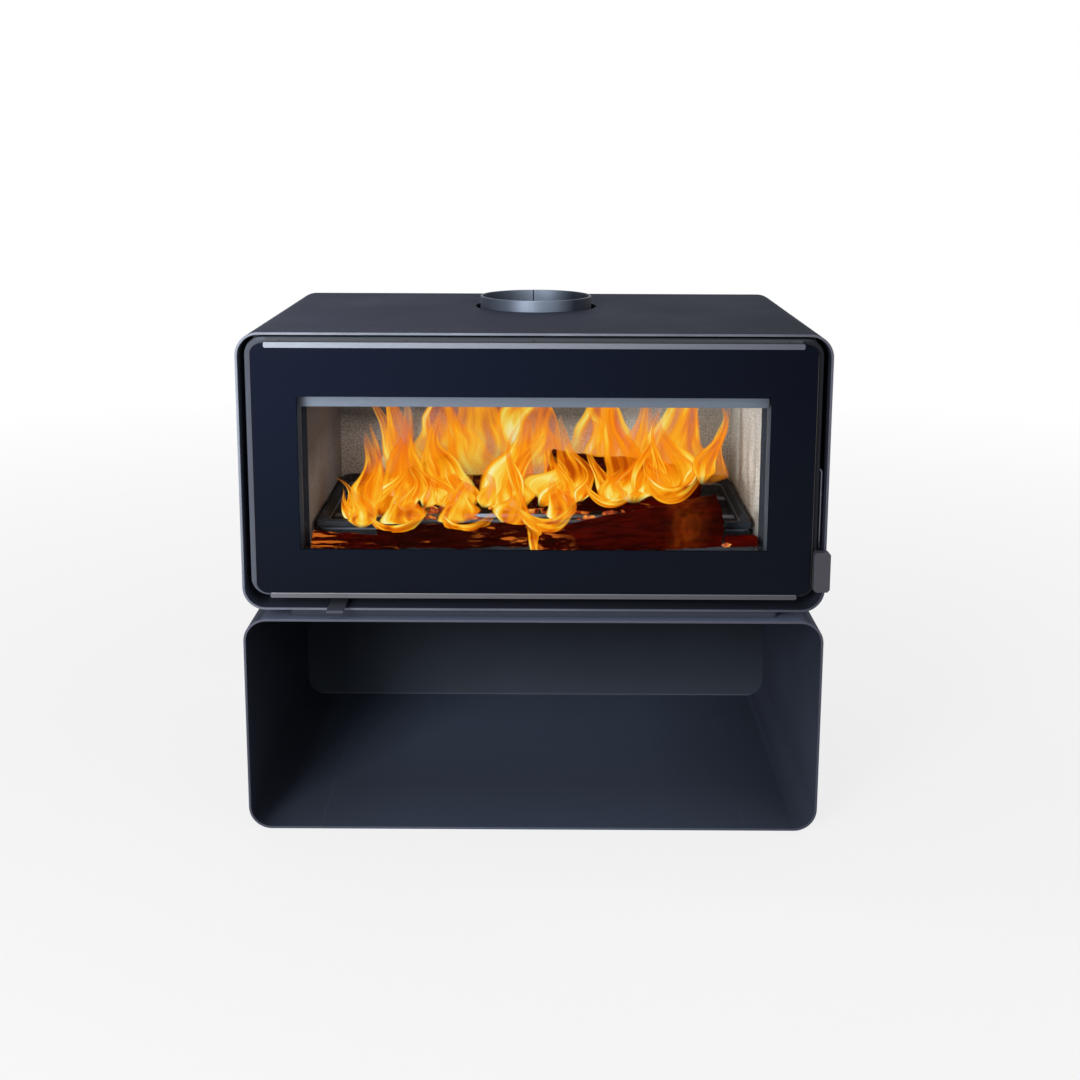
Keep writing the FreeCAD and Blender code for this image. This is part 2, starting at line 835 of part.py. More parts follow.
def make_flue_spigot():
    """The round collar that takes the flue pipe, with its flange on the firebox top."""
    collar = rod(flue_r, flue_top - firebox_top, 0, flue_y, firebox_top, Z)
    flange = rod(flue_r + flue_flange, flue_flange_sheet, 0, flue_y, firebox_top, Z)
    bore = rod(flue_r - flue_wall, flue_top - firebox_top + 2, 0, flue_y, firebox_top - 1, Z)
    spigot = collar.fuse(flange).removeSplitter().cut(bore)
    holes = [rod(screw_r + bolt_clearance, 3 * flue_flange_sheet, x, y, firebox_top - flue_flange_sheet, Z)
             for x, y in spigot_screw_places()]
    spigot = spigot.cut(Part.makeCompound(holes))
    return spigot.makeFillet(lip_fillet, in_plane(spigot, Z, flue_top))


def make_spigot_screws():
    screws = []
    seat = firebox_top + flue_flange_sheet
    for x, y in spigot_screw_places():
        shank = rod(screw_r, flue_flange_sheet + firebox_plate, x, y, firebox_roof, Z)
        head = rod(screw_head_r, screw_head, x, y, seat, Z)
        head = head.makeFillet(screw_head / 2, in_plane(head, Z, seat + screw_head))
        screws.append(shank.fuse(head).removeSplitter())
    return screws


# Hinge

def hinge_levels():
    """The lugs' low and high faces, bottom first."""
    low = door_bottom + lug_inset
    high = door_top - lug_inset
    return (low, low + lug_height), (high - lug_height, high)


def make_hinge_lugs():
    """Arms on the front plate that reach into the door's pan and hold the hinge pins."""
    lugs = []
    for z0, z1 in hinge_levels():
        nose = rod(lug_nose_r, z1 - z0, hinge_x, hinge_axis_y, z0, Z)
        bar = box(hinge_x - 1, hinge_x - 1 + lug_bar, hinge_axis_y, front_plate_y, z0, z1)
        bore = rod(pin_r + pin_fit, z1 - z0 + 2, hinge_x, hinge_axis_y, z0 - 1, Z)
        lugs.append(nose.fuse(bar).removeSplitter().cut(bore))
    return lugs


def make_hinge_pins():
    """The lower pin points up and the upper pin points down, into the door's blocks."""
    (low0, low1), (high0, high1) = hinge_levels()
    length = lug_height + lug_gap + pin_depth
    lower = rod(pin_r, length, hinge_x, hinge_axis_y, low0, Z)
    upper = rod(pin_r, length, hinge_x, hinge_axis_y, high1 - length, Z)
    lower = lower.makeFillet(pin_r / 4, in_plane(lower, Z, low0 + length))
    upper = upper.makeFillet(pin_r / 4, in_plane(upper, Z, high1 - length))
    return [lower, upper]


def make_hinge_blocks():
    """Blocks inside the door's pan with blind bores that turn on the hinge pins."""
    (low0, low1), (high0, high1) = hinge_levels()
    x0, x1 = -door_half + door_sheet, hinge_x + hinge_block_right
    y1 = front + hinge_block_back
    tall = hinge_block_height
    lower = box(x0, x1, web_back, y1, low1 + lug_gap, low1 + lug_gap + tall)
    upper = box(x0, x1, web_back, y1, high0 - lug_gap - tall, high0 - lug_gap)
    deep = pin_depth + lug_gap
    lower_bore = rod(pin_r + pin_running, deep + 1, hinge_x, hinge_axis_y, low1 + lug_gap - 1, Z)
    upper_bore = rod(pin_r + pin_running, deep + 1, hinge_x, hinge_axis_y, high0 - lug_gap - deep, Z)
    return [lower.cut(lower_bore), upper.cut(upper_bore)]


def hinge_notches():
    """The gaps in the door's left flange that let it swing past the lugs."""
    notches = []
    x0, x1 = -door_half - 1, -door_half + door_sheet + 1
    for z0, z1 in hinge_levels():
        notches.append(box(x0, x1, web_back, front + door_flange_depth + 1, z0 - lug_notch, z1 + lug_notch))
    return Part.makeCompound(notches)


# Door

def make_door_frame():
    """A pan: a window frame at the front, with flanges turned to the back all round."""
    y1 = front + door_flange_depth
    pan = slab(door_half, door_bottom, door_top, door_radius, web_y, y1)
    pan = pan.makeFillet(door_edge_fillet, in_plane(pan, Y, web_y))
    wall = door_sheet
    z0, z1 = door_bottom + wall, door_top - wall
    hollow = slab(door_half - wall, z0, z1, door_radius - wall, web_back, y1 + 1)
    margin = web_window_margin
    z0, z1 = window_bottom - margin, window_top + margin
    window = slab(window_half + margin, z0, z1, window_radius, web_y - 1, y1 + 1)
    shaft = rod(shaft_bore_r, 4 * door_sheet, door_half - 2 * door_sheet, shaft_axis_y, shaft_z, X)
    relief = box(-door_half - 1, hinge_x, front + hinge_flange_depth, y1 + 1, door_bottom - 1, door_top + 1)
    pan = pan.cut(hollow).cut(window).cut(relief).cut(shaft)
    return pan.cut(hinge_notches()).cut(clip_screw_holes())


def rope_line(grow, shrink, y0, y1):
    """A rounded frame that follows the rope's centre line."""
    return frame_of(rope_half, rope_bottom, rope_top, rope_radius, grow, shrink, y0, y1)


def make_rope_channel():
    """A folded channel on the door's back that holds the rope."""
    outside = rope_r + pin_fit + channel_sheet
    groove = rope_r + pin_fit
    ring = rope_line(outside, outside, web_back, channel_back)
    return ring.cut(rope_line(groove, groove, web_back + channel_base, channel_back + 1))


def make_door_rope_seal():
    """The round sealing rope, as one closed loop."""
    loop = slab(rope_half, rope_bottom, rope_top, rope_radius, rope_y, rope_y + 1)
    path = [f for f in loop.Faces if abs(f.BoundBox.YMax - rope_y) < 0.001][0].OuterWire
    start = FreeCAD.Vector(0, rope_y, rope_bottom)
    circle = Part.Wire([Part.Circle(start, X, rope_r).toShape()])
    return path.makePipeShell([circle], True, False)


def make_glass_tape():
    """The flat tape that beds the glass on the door frame."""
    radius = glass_radius - tape_inset
    edges = []
    for inset, spare in ((tape_inset, 0), (tape_inset + tape_width, 1)):
        z0, z1 = glass_bottom + inset, glass_top - inset
        edges.append(slab(glass_half - inset, z0, z1, radius, glass_back - spare, web_y + spare))
    return edges[0].cut(edges[1])


def make_door_glass():
    plate = slab(glass_half, glass_bottom, glass_top, glass_radius, glass_front, glass_back)
    edges = in_plane(plate, Y, glass_front)
    return plate.makeFillet(glass_edge, edges)


def clip_half():
    return door_half - clip_inset


def clip_screw_xs():
    pitch = 2 * (clip_half() - 4 * clip_flange) / (clip_screws_each - 1)
    return [(i - (clip_screws_each - 1) / 2) * pitch for i in range(clip_screws_each)]


def top_screw_z():
    """The height of the screws that hold the upper clip."""
    return glass_top + clip_gap + clip_sheet + clip_screw_r + clip_gap / 2


def bottom_screw_y():
    """The depth of the screws that hold the lower clip."""
    return front + clip_shelf_back - 2 * clip_screw_head_r


def clip_screw_holes():
    """The clip screws' clearance holes through the door frame."""
    r = clip_screw_r + pin_running
    holes = []
    for x in clip_screw_xs():
        holes.append(rod(r, 3 * web_sheet, x, web_y - web_sheet, top_screw_z(), Y))
        holes.append(rod(r, 3 * door_sheet, x, bottom_screw_y(), door_bottom - door_sheet, Z))
    return Part.makeCompound(holes)


def clip_lip(z0, z1):
    """The round-ended front strip of a glass clip."""
    x = clip_half()
    y1 = glass_front - clip_gap
    lip = box(-x, x, y1 - clip_sheet, y1, z0, z1)
    return lip.makeFillet(clip_lip_radius, along(lip, Y))


def make_glass_clip_top():
    """The folded strip over the glass's upper edge, screwed to the door frame from behind."""
    x = clip_half() - clip_lip_radius
    z0 = glass_top + clip_gap
    z1 = z0 + clip_sheet
    lip = clip_lip(glass_top - clip_lap, z1)
    shelf = box(-x, x, glass_front - clip_gap - clip_sheet / 2, web_y, z0, z1)
    flange = box(-x, x, web_y - clip_sheet, web_y, z0, z1 + clip_flange)
    holes = [rod(clip_screw_r + pin_fit, 3 * clip_sheet, sx, web_y - 2 * clip_sheet, top_screw_z(), Y)
             for sx in clip_screw_xs()]
    return lip.fuse([shelf, flange]).removeSplitter().cut(Part.makeCompound(holes))


def make_glass_clip_bottom():
    """The strip under the glass, with a ledge that bears it and a foot under the door frame."""
    x = clip_half() - clip_lip_radius
    z1 = glass_bottom - clip_gap
    y0 = glass_front - clip_gap - clip_sheet / 2
    foot_z = door_bottom - clip_sheet
    lip = clip_lip(foot_z, glass_bottom + clip_bottom_lap)
    ledge = box(-x, x, y0, web_y, z1 - clip_sheet, z1)
    foot = box(-x, x, y0, front + clip_shelf_back, foot_z, door_bottom)
    holes = [rod(clip_screw_r + pin_fit, 3 * clip_sheet, sx, bottom_screw_y(), foot_z - clip_sheet, Z)
             for sx in clip_screw_xs()]
    return lip.fuse([ledge, foot]).removeSplitter().cut(Part.makeCompound(holes))


def make_glass_clip_screws():
    """Screws from inside the door frame's pan into the two glass clips."""
    screws = []
    for x in clip_screw_xs():
        shank = rod(clip_screw_r, web_sheet + clip_sheet, x, web_y - clip_sheet, top_screw_z(), Y)
        head = rod(clip_screw_head_r, clip_screw_head, x, web_back, top_screw_z(), Y)
        screws.append(shank.fuse(head).removeSplitter())
        seat = door_bottom + door_sheet
        shank = rod(clip_screw_r, door_sheet + clip_sheet, x, bottom_screw_y(), door_bottom - clip_sheet, Z)
        head = rod(clip_screw_head_r, clip_screw_head, x, bottom_screw_y(), seat, Z)
        screws.append(shank.fuse(head).removeSplitter())
    return screws


# Handle and latch

def make_latch_housing():
    """The block inside the door's edge that the handle's shaft turns in."""
    block = box(housing_x0, door_half - door_sheet, web_back, front + door_flange_depth,
                shaft_z - housing_half, shaft_z + housing_half)
    start = housing_x0 - housing_width
    return block.cut(rod(shaft_bore_r, 3 * housing_width, start, shaft_axis_y, shaft_z, X))


def make_handle_rod():
    """One bent bar: the latch shaft, the hanging lever and the turn into the knob."""
    bend = rod_bend
    knob_y = front - knob_standoff - rod_in_knob
    p0 = FreeCAD.Vector(nut_x0 - 1, shaft_axis_y, shaft_z)
    p1 = FreeCAD.Vector(rod_x - bend, shaft_axis_y, shaft_z)
    p2 = FreeCAD.Vector(rod_x, shaft_axis_y, shaft_z - bend)
    p3 = FreeCAD.Vector(rod_x, shaft_axis_y, rod_end_z + bend)
    p4 = FreeCAD.Vector(rod_x, shaft_axis_y - bend, rod_end_z)
    p5 = FreeCAD.Vector(rod_x, knob_y, rod_end_z)
    k = bend * (1 - math.sqrt(0.5))
    mid_a = FreeCAD.Vector(rod_x - k, shaft_axis_y, shaft_z - k)
    mid_b = FreeCAD.Vector(rod_x, shaft_axis_y - k, rod_end_z + k)
    path = Part.Wire([
        Part.LineSegment(p0, p1).toShape(),
        Part.Arc(p1, mid_a, p2).toShape(),
        Part.LineSegment(p2, p3).toShape(),
        Part.Arc(p3, mid_b, p4).toShape(),
        Part.LineSegment(p4, p5).toShape(),
    ])
    circle = Part.Wire([Part.Circle(p0, X, rod_r).toShape()])
    return path.makePipeShell([circle], True, False)


def make_handle_knob():
    """The flat grip in front of the casing's lip."""
    x0 = rod_x + knob_offset_x - knob_width / 2
    x1 = x0 + knob_width
    y1 = front - knob_standoff
    y0 = y1 - knob_thickness
    z0 = rod_end_z - knob_below_rod
    z1 = z0 + knob_height
    block = box(x0, x1, y0, y1, z0, z1)
    block = block.makeChamfer(knob_chamfer, along(block, Y))
    block = block.makeFillet(lip_fillet, in_plane(block, Y, y0))
    return block.cut(rod(rod_r + pin_fit, rod_in_knob + 1, rod_x, y1 - rod_in_knob, rod_end_z, Y))


def make_latch_hook():
    """The arm on the shaft whose nose goes in under the catch."""
    x0, y, z = hook_x0, shaft_axis_y, shaft_z
    hub = rod(hook_hub_r, hook_sheet, x0, y, z, X)
    nose = box(x0, x0 + hook_sheet, y, y + hook_nose, z - hook_nose_half, z + hook_nose_half)
    nose = nose.makeFillet(hook_nose_fillet, [e for e in along(nose, X) if e.BoundBox.YMin > y + 1])
    bore = rod(rod_r + pin_fit, 3 * hook_sheet, x0 - hook_sheet, y, z, X)
    return hub.fuse(nose).removeSplitter().cut(bore)


def make_latch_nut():
    nut = hex_prism(nut_flats, nut_width, nut_x0, shaft_axis_y, shaft_z, X)
    return nut.cut(rod(rod_r + pin_fit, 3 * nut_width, nut_x0 - nut_width, shaft_axis_y, shaft_z, X))


def catch_box():
    """The catch's low and high corners."""
    x1 = front_plate_half - catch_edge
    x0 = x1 - catch_width
    z0 = shaft_z + hook_nose_half + catch_gap
    return x0, x1, z0, z0 + catch_height


def catch_screw_places():
    x0, x1, z0, z1 = catch_box()
    z = (shaft_z + notch_above + z1) / 2
    return [(x0 + 2 * catch_screw_r + 1, z), (x1 - 2 * catch_screw_r - 1, z)]


def make_latch_catch():
    """The block behind the front plate that the hook draws up to."""
    x0, x1, z0, z1 = catch_box()
    block = box(x0, x1, front_plate_back, front_plate_back + catch_depth, z0, z1)
    holes = [rod(catch_screw_r + pin_fit, 3 * catch_depth, x, front_plate_back - catch_depth, z, Y)
             for x, z in catch_screw_places()]
    return block.cut(Part.makeCompound(holes))


def make_catch_screws():
    screws = []
    y1 = front_plate_back + catch_depth
    for x, z in catch_screw_places():
        shank = rod(catch_screw_r, catch_depth, x, front_plate_back, z, Y)
        head = rod(catch_screw_head_r, screw_head, x, y1, z, Y)
        screws.append(shank.fuse(head).removeSplitter())
    return screws


def main():
    os.makedirs("parts", exist_ok=True)

    save("base_casing", make_base_casing())
    save("base_back_panel", make_base_back_panel())
    save("base_spacer", make_base_spacer())
    save("base_bolts", *make_base_bolts())
    save("base_nuts", *make_base_nuts())

    save("outer_casing", make_outer_casing())
    save("casing_back_panel", make_casing_back_panel())
    save("casing_tabs", *make_casing_tabs())
    save("casing_panel_screws", *make_casing_panel_screws())
    save("firebox_feet", *make_firebox_feet())

    save("firebox_floor", make_firebox_floor())
    save("firebox_side_right", make_firebox_side())
    save("firebox_side_left", mirrored(make_firebox_side()))
    save("firebox_back", make_firebox_back())
    save("firebox_top", make_firebox_top())
    save("firebox_front", make_firebox_front())
    save("liner_right", make_liner_side())
    save("liner_left", mirrored(make_liner_side()))
    save("liner_back", make_liner_back())
    save("floor_bricks", *make_floor_bricks())
    save("baffle_supports", *make_baffle_supports())
    save("baffle_plate", make_baffle_plate())
    save("firebed_tray", make_firebed_tray())
    save("front_ledge", make_front_ledge())

    save("air_wash_channel", make_air_wash_channel())
    save("air_wash_ducts", *make_air_wash_ducts())
    save("rear_air_duct", make_rear_air_duct())
    save("air_box", make_air_box())
    save("slide_runners", *make_slide_runners())
    save("air_slide", make_air_slide())

    save("flue_spigot", make_flue_spigot())
    save("spigot_screws", *make_spigot_screws())

    save("hinge_lugs", *make_hinge_lugs())
    save("hinge_pins", *make_hinge_pins())
    save("hinge_blocks", *make_hinge_blocks())
    save("door_frame", make_door_frame())
    save("rope_channel", make_rope_channel())
    save("door_rope_seal", make_door_rope_seal())
    save("glass_tape", make_glass_tape())
    save("door_glass", make_door_glass())
    save("glass_clip_top", make_glass_clip_top())
    save("glass_clip_bottom", make_glass_clip_bottom())
    save("glass_clip_screws", *make_glass_clip_screws())

    save("latch_housing", make_latch_housing())
    save("handle_rod", make_handle_rod())
    save("handle_knob", make_handle_knob())
    save("latch_hook", make_latch_hook())
    save("latch_nut", make_latch_nut())
    save("latch_catch", make_latch_catch())
    save("catch_screws", *make_catch_screws())


main()
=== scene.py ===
import math
import random

import bmesh
import bpy
from mathutils import Matrix, Vector, noise


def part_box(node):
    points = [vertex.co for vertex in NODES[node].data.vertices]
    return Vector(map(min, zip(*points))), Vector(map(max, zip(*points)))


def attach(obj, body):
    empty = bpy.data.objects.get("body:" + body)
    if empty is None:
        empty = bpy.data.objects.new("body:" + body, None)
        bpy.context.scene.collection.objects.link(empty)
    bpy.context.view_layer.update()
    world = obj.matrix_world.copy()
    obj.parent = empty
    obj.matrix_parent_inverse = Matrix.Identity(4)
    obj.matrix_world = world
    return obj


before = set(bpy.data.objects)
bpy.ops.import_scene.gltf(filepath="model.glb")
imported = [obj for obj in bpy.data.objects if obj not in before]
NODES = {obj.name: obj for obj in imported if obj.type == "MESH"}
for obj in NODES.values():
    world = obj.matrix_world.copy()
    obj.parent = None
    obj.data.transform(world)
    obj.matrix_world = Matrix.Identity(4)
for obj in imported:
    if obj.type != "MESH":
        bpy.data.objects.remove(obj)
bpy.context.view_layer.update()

# Sizes and places in metres, most of them read from the frame
MM = 0.001
CASING_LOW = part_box("outer_casing")[0]
GLASS_LOW, GLASS_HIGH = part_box("door_glass")
TRAY_LOW, TRAY_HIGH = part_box("firebed_tray")
FRONT_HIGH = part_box("firebox_front")[1]
LINER_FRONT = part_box("liner_right")[0].y
LINER_SIDE_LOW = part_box("liner_right")[0].x
DOOR_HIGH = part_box("door_frame")[1]
BASE_LOW, BASE_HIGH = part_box("base_casing")
SPIGOT_LOW, SPIGOT_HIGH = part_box("flue_spigot")
CLIP_TOP_LOW, CLIP_TOP_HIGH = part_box("glass_clip_top")
CLIP_BOTTOM_LOW, CLIP_BOTTOM_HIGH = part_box("glass_clip_bottom")
LINER_TOP_DARK = (0.455, 0.492)
BASE_CORNER = 28 * MM
BASE_FLOOR = (3.5 * MM, 4.5 * MM)
STORE_ROOF_DARK = (0.10, 0.31)
STORE_LEFT_DARK = (-0.345, -0.30)
LOG_TRACK_X = 0.262
TRAY_FLOOR = TRAY_LOW.z + 6 * MM
TRAY_RIB_TOP = TRAY_LOW.z + 17 * MM

# The clear window, inside the printed border of the door glass
BORDER_SIDE = 53.5 * MM
BORDER_TOP = 63.0 * MM
BORDER_BOTTOM = 54.0 * MM
WINDOW_LOW = Vector((GLASS_LOW.x + BORDER_SIDE, GLASS_LOW.y, GLASS_LOW.z + BORDER_BOTTOM))
WINDOW_HIGH = Vector((GLASS_HIGH.x - BORDER_SIDE, GLASS_HIGH.y, GLASS_HIGH.z - BORDER_TOP))


# Camera and lights

def make_camera():
    """The camera, in front of the stove's middle and 0.2 m above its top, with the frame shifted down."""
    data = bpy.data.cameras.new("camera")
    data.sensor_width = 36
    data.lens = 49.03
    data.shift_y = -0.12
    data.clip_end = 100
    camera = bpy.data.objects.new("camera", data)
    camera.location = (0.0134, -1.9235, 0.8385)
    pitch, roll, yaw = 10.427, -0.20, 0.246
    camera.rotation_euler = (math.radians(90 - pitch), math.radians(roll), math.radians(yaw))
    bpy.context.scene.collection.objects.link(camera)
    bpy.context.scene.camera = camera


def area_light(name, place, target, size_x, size_y, watts):
    """A rectangular lamp that points at target and isn't seen itself."""
    data = bpy.data.lights.new(name, "AREA")
    data.shape = "RECTANGLE"
    data.size = size_x
    data.size_y = size_y
    data.energy = watts
    light = bpy.data.objects.new(name, data)
    light.location = place
    light.rotation_euler = (Vector(target) - Vector(place)).to_track_quat("-Z", "Y").to_euler()
    bpy.context.scene.collection.objects.link(light)
    light.visible_camera = False


# Node helpers

class Shader:
    """A material and short ways to add and join its nodes."""

    def __init__(self, name):
        self.mat = bpy.data.materials.new(name)
        self.mat.use_nodes = True
        self.tree = self.mat.node_tree
        self.tree.nodes.clear()
        self.out = self.add("ShaderNodeOutputMaterial")
        self.coord = self.add("ShaderNodeTexCoord").outputs["Object"]

    def add(self, kind, **settings):
        node = self.tree.nodes.new(kind)
        for key, value in settings.items():
            setattr(node, key, value)
        return node

    def put(self, socket, value):
        """A socket takes a link or a plain value."""
        if isinstance(value, bpy.types.NodeSocket):
            self.tree.links.new(value, socket)
        elif isinstance(value, (tuple, list)) and socket.type == "RGBA":
            socket.default_value = (*value[:3], 1)
        else:
            socket.default_value = value

    def principled(self, **values):
        node = self.add("ShaderNodeBsdfPrincipled")
        for key, value in values.items():
            self.put(node.inputs[key.replace("_", " ").title().replace("Ior", "IOR")], value)
        return node

    def surface(self, shader):
        self.put(self.out.inputs["Surface"], shader)
        return self.mat

    def scaled(self, x, y, z, vector=None):
        """The vector times x, y and z: a large factor makes a pattern fine along that axis."""
        node = self.add("ShaderNodeMapping")
        self.put(node.inputs["Vector"], vector or self.coord)
        node.inputs["Scale"].default_value = (x, y, z)
        return node.outputs["Vector"]

    def noise(self, scale, detail=3.0, rough=0.5, vector=None, distortion=0.0):
        node = self.add("ShaderNodeTexNoise")
        self.put(node.inputs["Vector"], vector or self.coord)
        node.inputs["Scale"].default_value = scale
        node.inputs["Detail"].default_value = detail
        node.inputs["Roughness"].default_value = rough
        node.inputs["Distortion"].default_value = distortion
        return node.outputs["Fac"]

    def cells(self, scale):
        node = self.add("ShaderNodeTexVoronoi")
        self.put(node.inputs["Vector"], self.coord)
        node.inputs["Scale"].default_value = scale
        return node.outputs["Distance"]

    def maths(self, operation, a, b=0.0):
        node = self.add("ShaderNodeMath", operation=operation)
        self.put(node.inputs[0], a)
        self.put(node.inputs[1], b)
        return node.outputs[0]

    def remap(self, value, low, high, to_low=0.0, to_high=1.0):
        """The range low to high stretched to another, and held at its ends beyond it."""
        node = self.add("ShaderNodeMapRange", clamp=True)
        self.put(node.inputs["Value"], value)
        for key, number in zip(("From Min", "From Max", "To Min", "To Max"), (low, high, to_low, to_high)):
            self.put(node.inputs[key], number)
        return node.outputs["Result"]

    def ramp(self, value, *stops):
        """A colour ramp from (place, colour) stops."""
        node = self.add("ShaderNodeValToRGB")
        self.put(node.inputs["Fac"], value)
        elements = node.color_ramp.elements
        while len(elements) < len(stops):
            elements.new(0.5)
        for element, (place, colour) in zip(elements, stops):
            element.position = place
            element.color = (*colour, 1)
        return node.outputs["Color"]

    def blend(self, factor, a, b, mode="MIX"):
        node = self.add("ShaderNodeMix", data_type="RGBA", blend_type=mode)
        self.put(node.inputs["Factor"], factor)
        self.put(node.inputs[6], a)
        self.put(node.inputs[7], b)
        return node.outputs[2]

    def bump(self, height, strength, distance):
        node = self.add("ShaderNodeBump")
        self.put(node.inputs["Height"], height)
        node.inputs["Strength"].default_value = strength
        node.inputs["Distance"].default_value = distance
        return node.outputs["Normal"]

    def axis(self, name, vector=None):
        node = self.add("ShaderNodeSeparateXYZ")
        self.put(node.inputs["Vector"], vector or self.coord)
        return node.outputs[name]

    def mix_shader(self, factor, a, b):
        node = self.add("ShaderNodeMixShader")
        self.put(node.inputs[0], factor)
        self.put(node.inputs[1], a)
        self.put(node.inputs[2], b)
        return node.outputs[0]


# Materials of the CAD nodes

def across(s, left, right, reach=0.35):
    """A colour that changes from the left side of the stove to its right side."""
    return s.blend(s.remap(s.axis("X"), -reach, reach), left, right)


def inside_of_base(s):
    """1 on the inner faces of the log store's wrapped 3 mm sheet, 0 on its outer faces.

    It is told from the distance to the centre of the nearest rolled corner.
    """
    middle_z = (BASE_LOW.z + BASE_HIGH.z) / 2
    past_x = s.maths("MAXIMUM", s.maths("SUBTRACT", s.maths("ABSOLUTE", s.axis("X")), BASE_HIGH.x - BASE_CORNER), 0.0)
    level = s.maths("ABSOLUTE", s.maths("SUBTRACT", s.axis("Z"), middle_z))
    past_z = s.maths("MAXIMUM", s.maths("SUBTRACT", level, BASE_HIGH.z - middle_z - BASE_CORNER), 0.0)
    square = s.maths("ADD", s.maths("MULTIPLY", past_x, past_x), s.maths("MULTIPLY", past_z, past_z))
    return s.remap(s.maths("SQRT", square), BASE_CORNER - 2.5 * MM, BASE_CORNER - 0.8 * MM, 1.0, 0.0)


def floor_light_and_scratches(s, base):
    """The log store's floor: dust and painted light in its middle, two scratched tracks where logs are slid in."""
    low = s.remap(s.axis("Z"), *BASE_FLOOR, 1.0, 0.0)
    # Dust and a painted pool of light: paler in the middle of the floor and towards the back.
    middle = s.remap(s.maths("ABSOLUTE", s.axis("X")), 0.16, 0.32, 1.0, 0.25)
    deep = s.remap(s.axis("Y"), -0.1, 0.1, 0.35, 1.0)
    dust = s.maths("MULTIPLY", s.maths("MULTIPLY", low, middle), deep)
    base = s.blend(dust, base, (0.11, 0.145, 0.22))
    track = s.maths("ABSOLUTE", s.maths("SUBTRACT", s.maths("ABSOLUTE", s.axis("X")), LOG_TRACK_X))
    broken = s.remap(s.noise(18, 3, 0.6, s.scaled(1, 0.4, 1)), 0.48, 0.56, 0.0, 0.5)
    scratch = s.maths("MULTIPLY", s.remap(track, 0.1 * MM, 0.5 * MM, 1.0, 0.0), broken)
    return s.blend(s.maths("MULTIPLY", scratch, low), base, (0.14, 0.16, 0.2))


def shaded_inside(s, base):
    """The log store's inner faces, darker under the roof and on the left wall."""
    inside = inside_of_base(s)
    roof = s.maths("MULTIPLY", inside, s.remap(s.axis("Z"), *STORE_ROOF_DARK, 0.0, 0.65))
    left_wall = s.maths("MULTIPLY", inside, s.remap(s.axis("X"), *STORE_LEFT_DARK, 0.55, 0.0))
    return s.blend(left_wall, s.blend(roof, base, (0, 0, 0)), (0.004, 0.004, 0.006))


def orange_peel(s):
    """The fine uneven surface of sprayed paint."""
    return s.bump(s.noise(420, 2, 0.6), 0.14, 0.0004)


def painted_steel(name, colour, rough, specular, lip=None, right=1.0, top_light_z=None, store=False):
    """Satin heat-proof paint: soft patches, a fine orange-peel and a little dust.

    lip is the Y of a sheet's cut front edge, which carries a painted highlight, with the colours at its left and
    right ends and the two heights between which the highlight brightens. right is the share of the colour that is
    left at the right side, a painted shade. Above the height crown the paint is paler, a painted light on the top
    face. store is for the log store, inside and out: its painted shade, its floor's dust and painted light, its
    scratches.
    """
    s = Shader(name)
    patches = s.noise(2.6, 4, 0.55)
    dark = tuple(0.88 * c for c in colour)
    light = tuple(1.12 * c for c in colour)
    base = s.blend(s.remap(patches, 0.3, 0.7), dark, light)
    # Painted shade: the colour darkens towards the right side.
    if right != 1.0:
        base = s.blend(1.0, base, across(s, (1, 1, 1), (right, right, right)), "MULTIPLY")
    # Painted shade inside the log store, dust and painted light on its floor, and its scratches.
    if store:
        base = shaded_inside(s, floor_light_and_scratches(s, base))
    # Painted light: paler above the height crown, on the top face.
    if top_light_z is not None:
        base = s.blend(s.remap(s.axis("Z"), top_light_z - 1.5 * MM, top_light_z), base, tuple(3.2 * c for c in colour))
    dust = s.remap(s.cells(34), 0.012, 0.03, 0.35, 0.0)
    base = s.blend(dust, base, tuple(min(1, 5 * c) for c in colour))
    # Painted highlight on the cut front edge, paler to the left and brighter higher up, broken up by noise.
    if lip is not None:
        highlight_breakup = s.remap(s.noise(24, 3, 0.5), 0.3, 0.7, 0.75, 1.0)
        lip_y, lip_left, lip_right, dim_z, bright_z = lip
        edge = s.maths("MULTIPLY", s.remap(s.axis("Y"), lip_y + 0.9 * MM, lip_y + 0.4 * MM), highlight_breakup)
        edge = s.maths("MULTIPLY", edge, s.remap(s.axis("Z"), dim_z, bright_z, 0.4, 1.0))
        base = s.blend(edge, base, across(s, lip_left, lip_right))
    roughness = s.remap(s.noise(7, 5, 0.6), 0.3, 0.7, rough - 0.05, rough + 0.06)
    shader = s.principled(base_color=base, roughness=roughness, specular_ior_level=specular, normal=orange_peel(s))
    return s.surface(shader.outputs[0])


def brushed_steel(name, colour, rough):
    """Bare steel with fine lines along its height and a faint tint from heat."""
    s = Shader(name)
    lines = s.noise(60, 4, 0.7, s.scaled(40, 40, 1))
    tint = s.noise(5, 2, 0.5)
    base = s.blend(s.remap(tint, 0.35, 0.7, 0, 0.35), colour, tuple(c * k for c, k in zip(colour, (1.0, 0.93, 0.84))))
    base = s.blend(s.remap(lines, 0.3, 0.7, 0.0, 0.22), base, tuple(0.55 * c for c in colour))
    roughness = s.remap(lines, 0.3, 0.7, rough - 0.07, rough + 0.09)
    shader = s.principled(base_color=base, roughness=roughness, metallic=1.0)
    s.put(shader.inputs["Normal"], s.bump(lines, 0.1, 0.0003))
    return s.surface(shader.outputs[0])


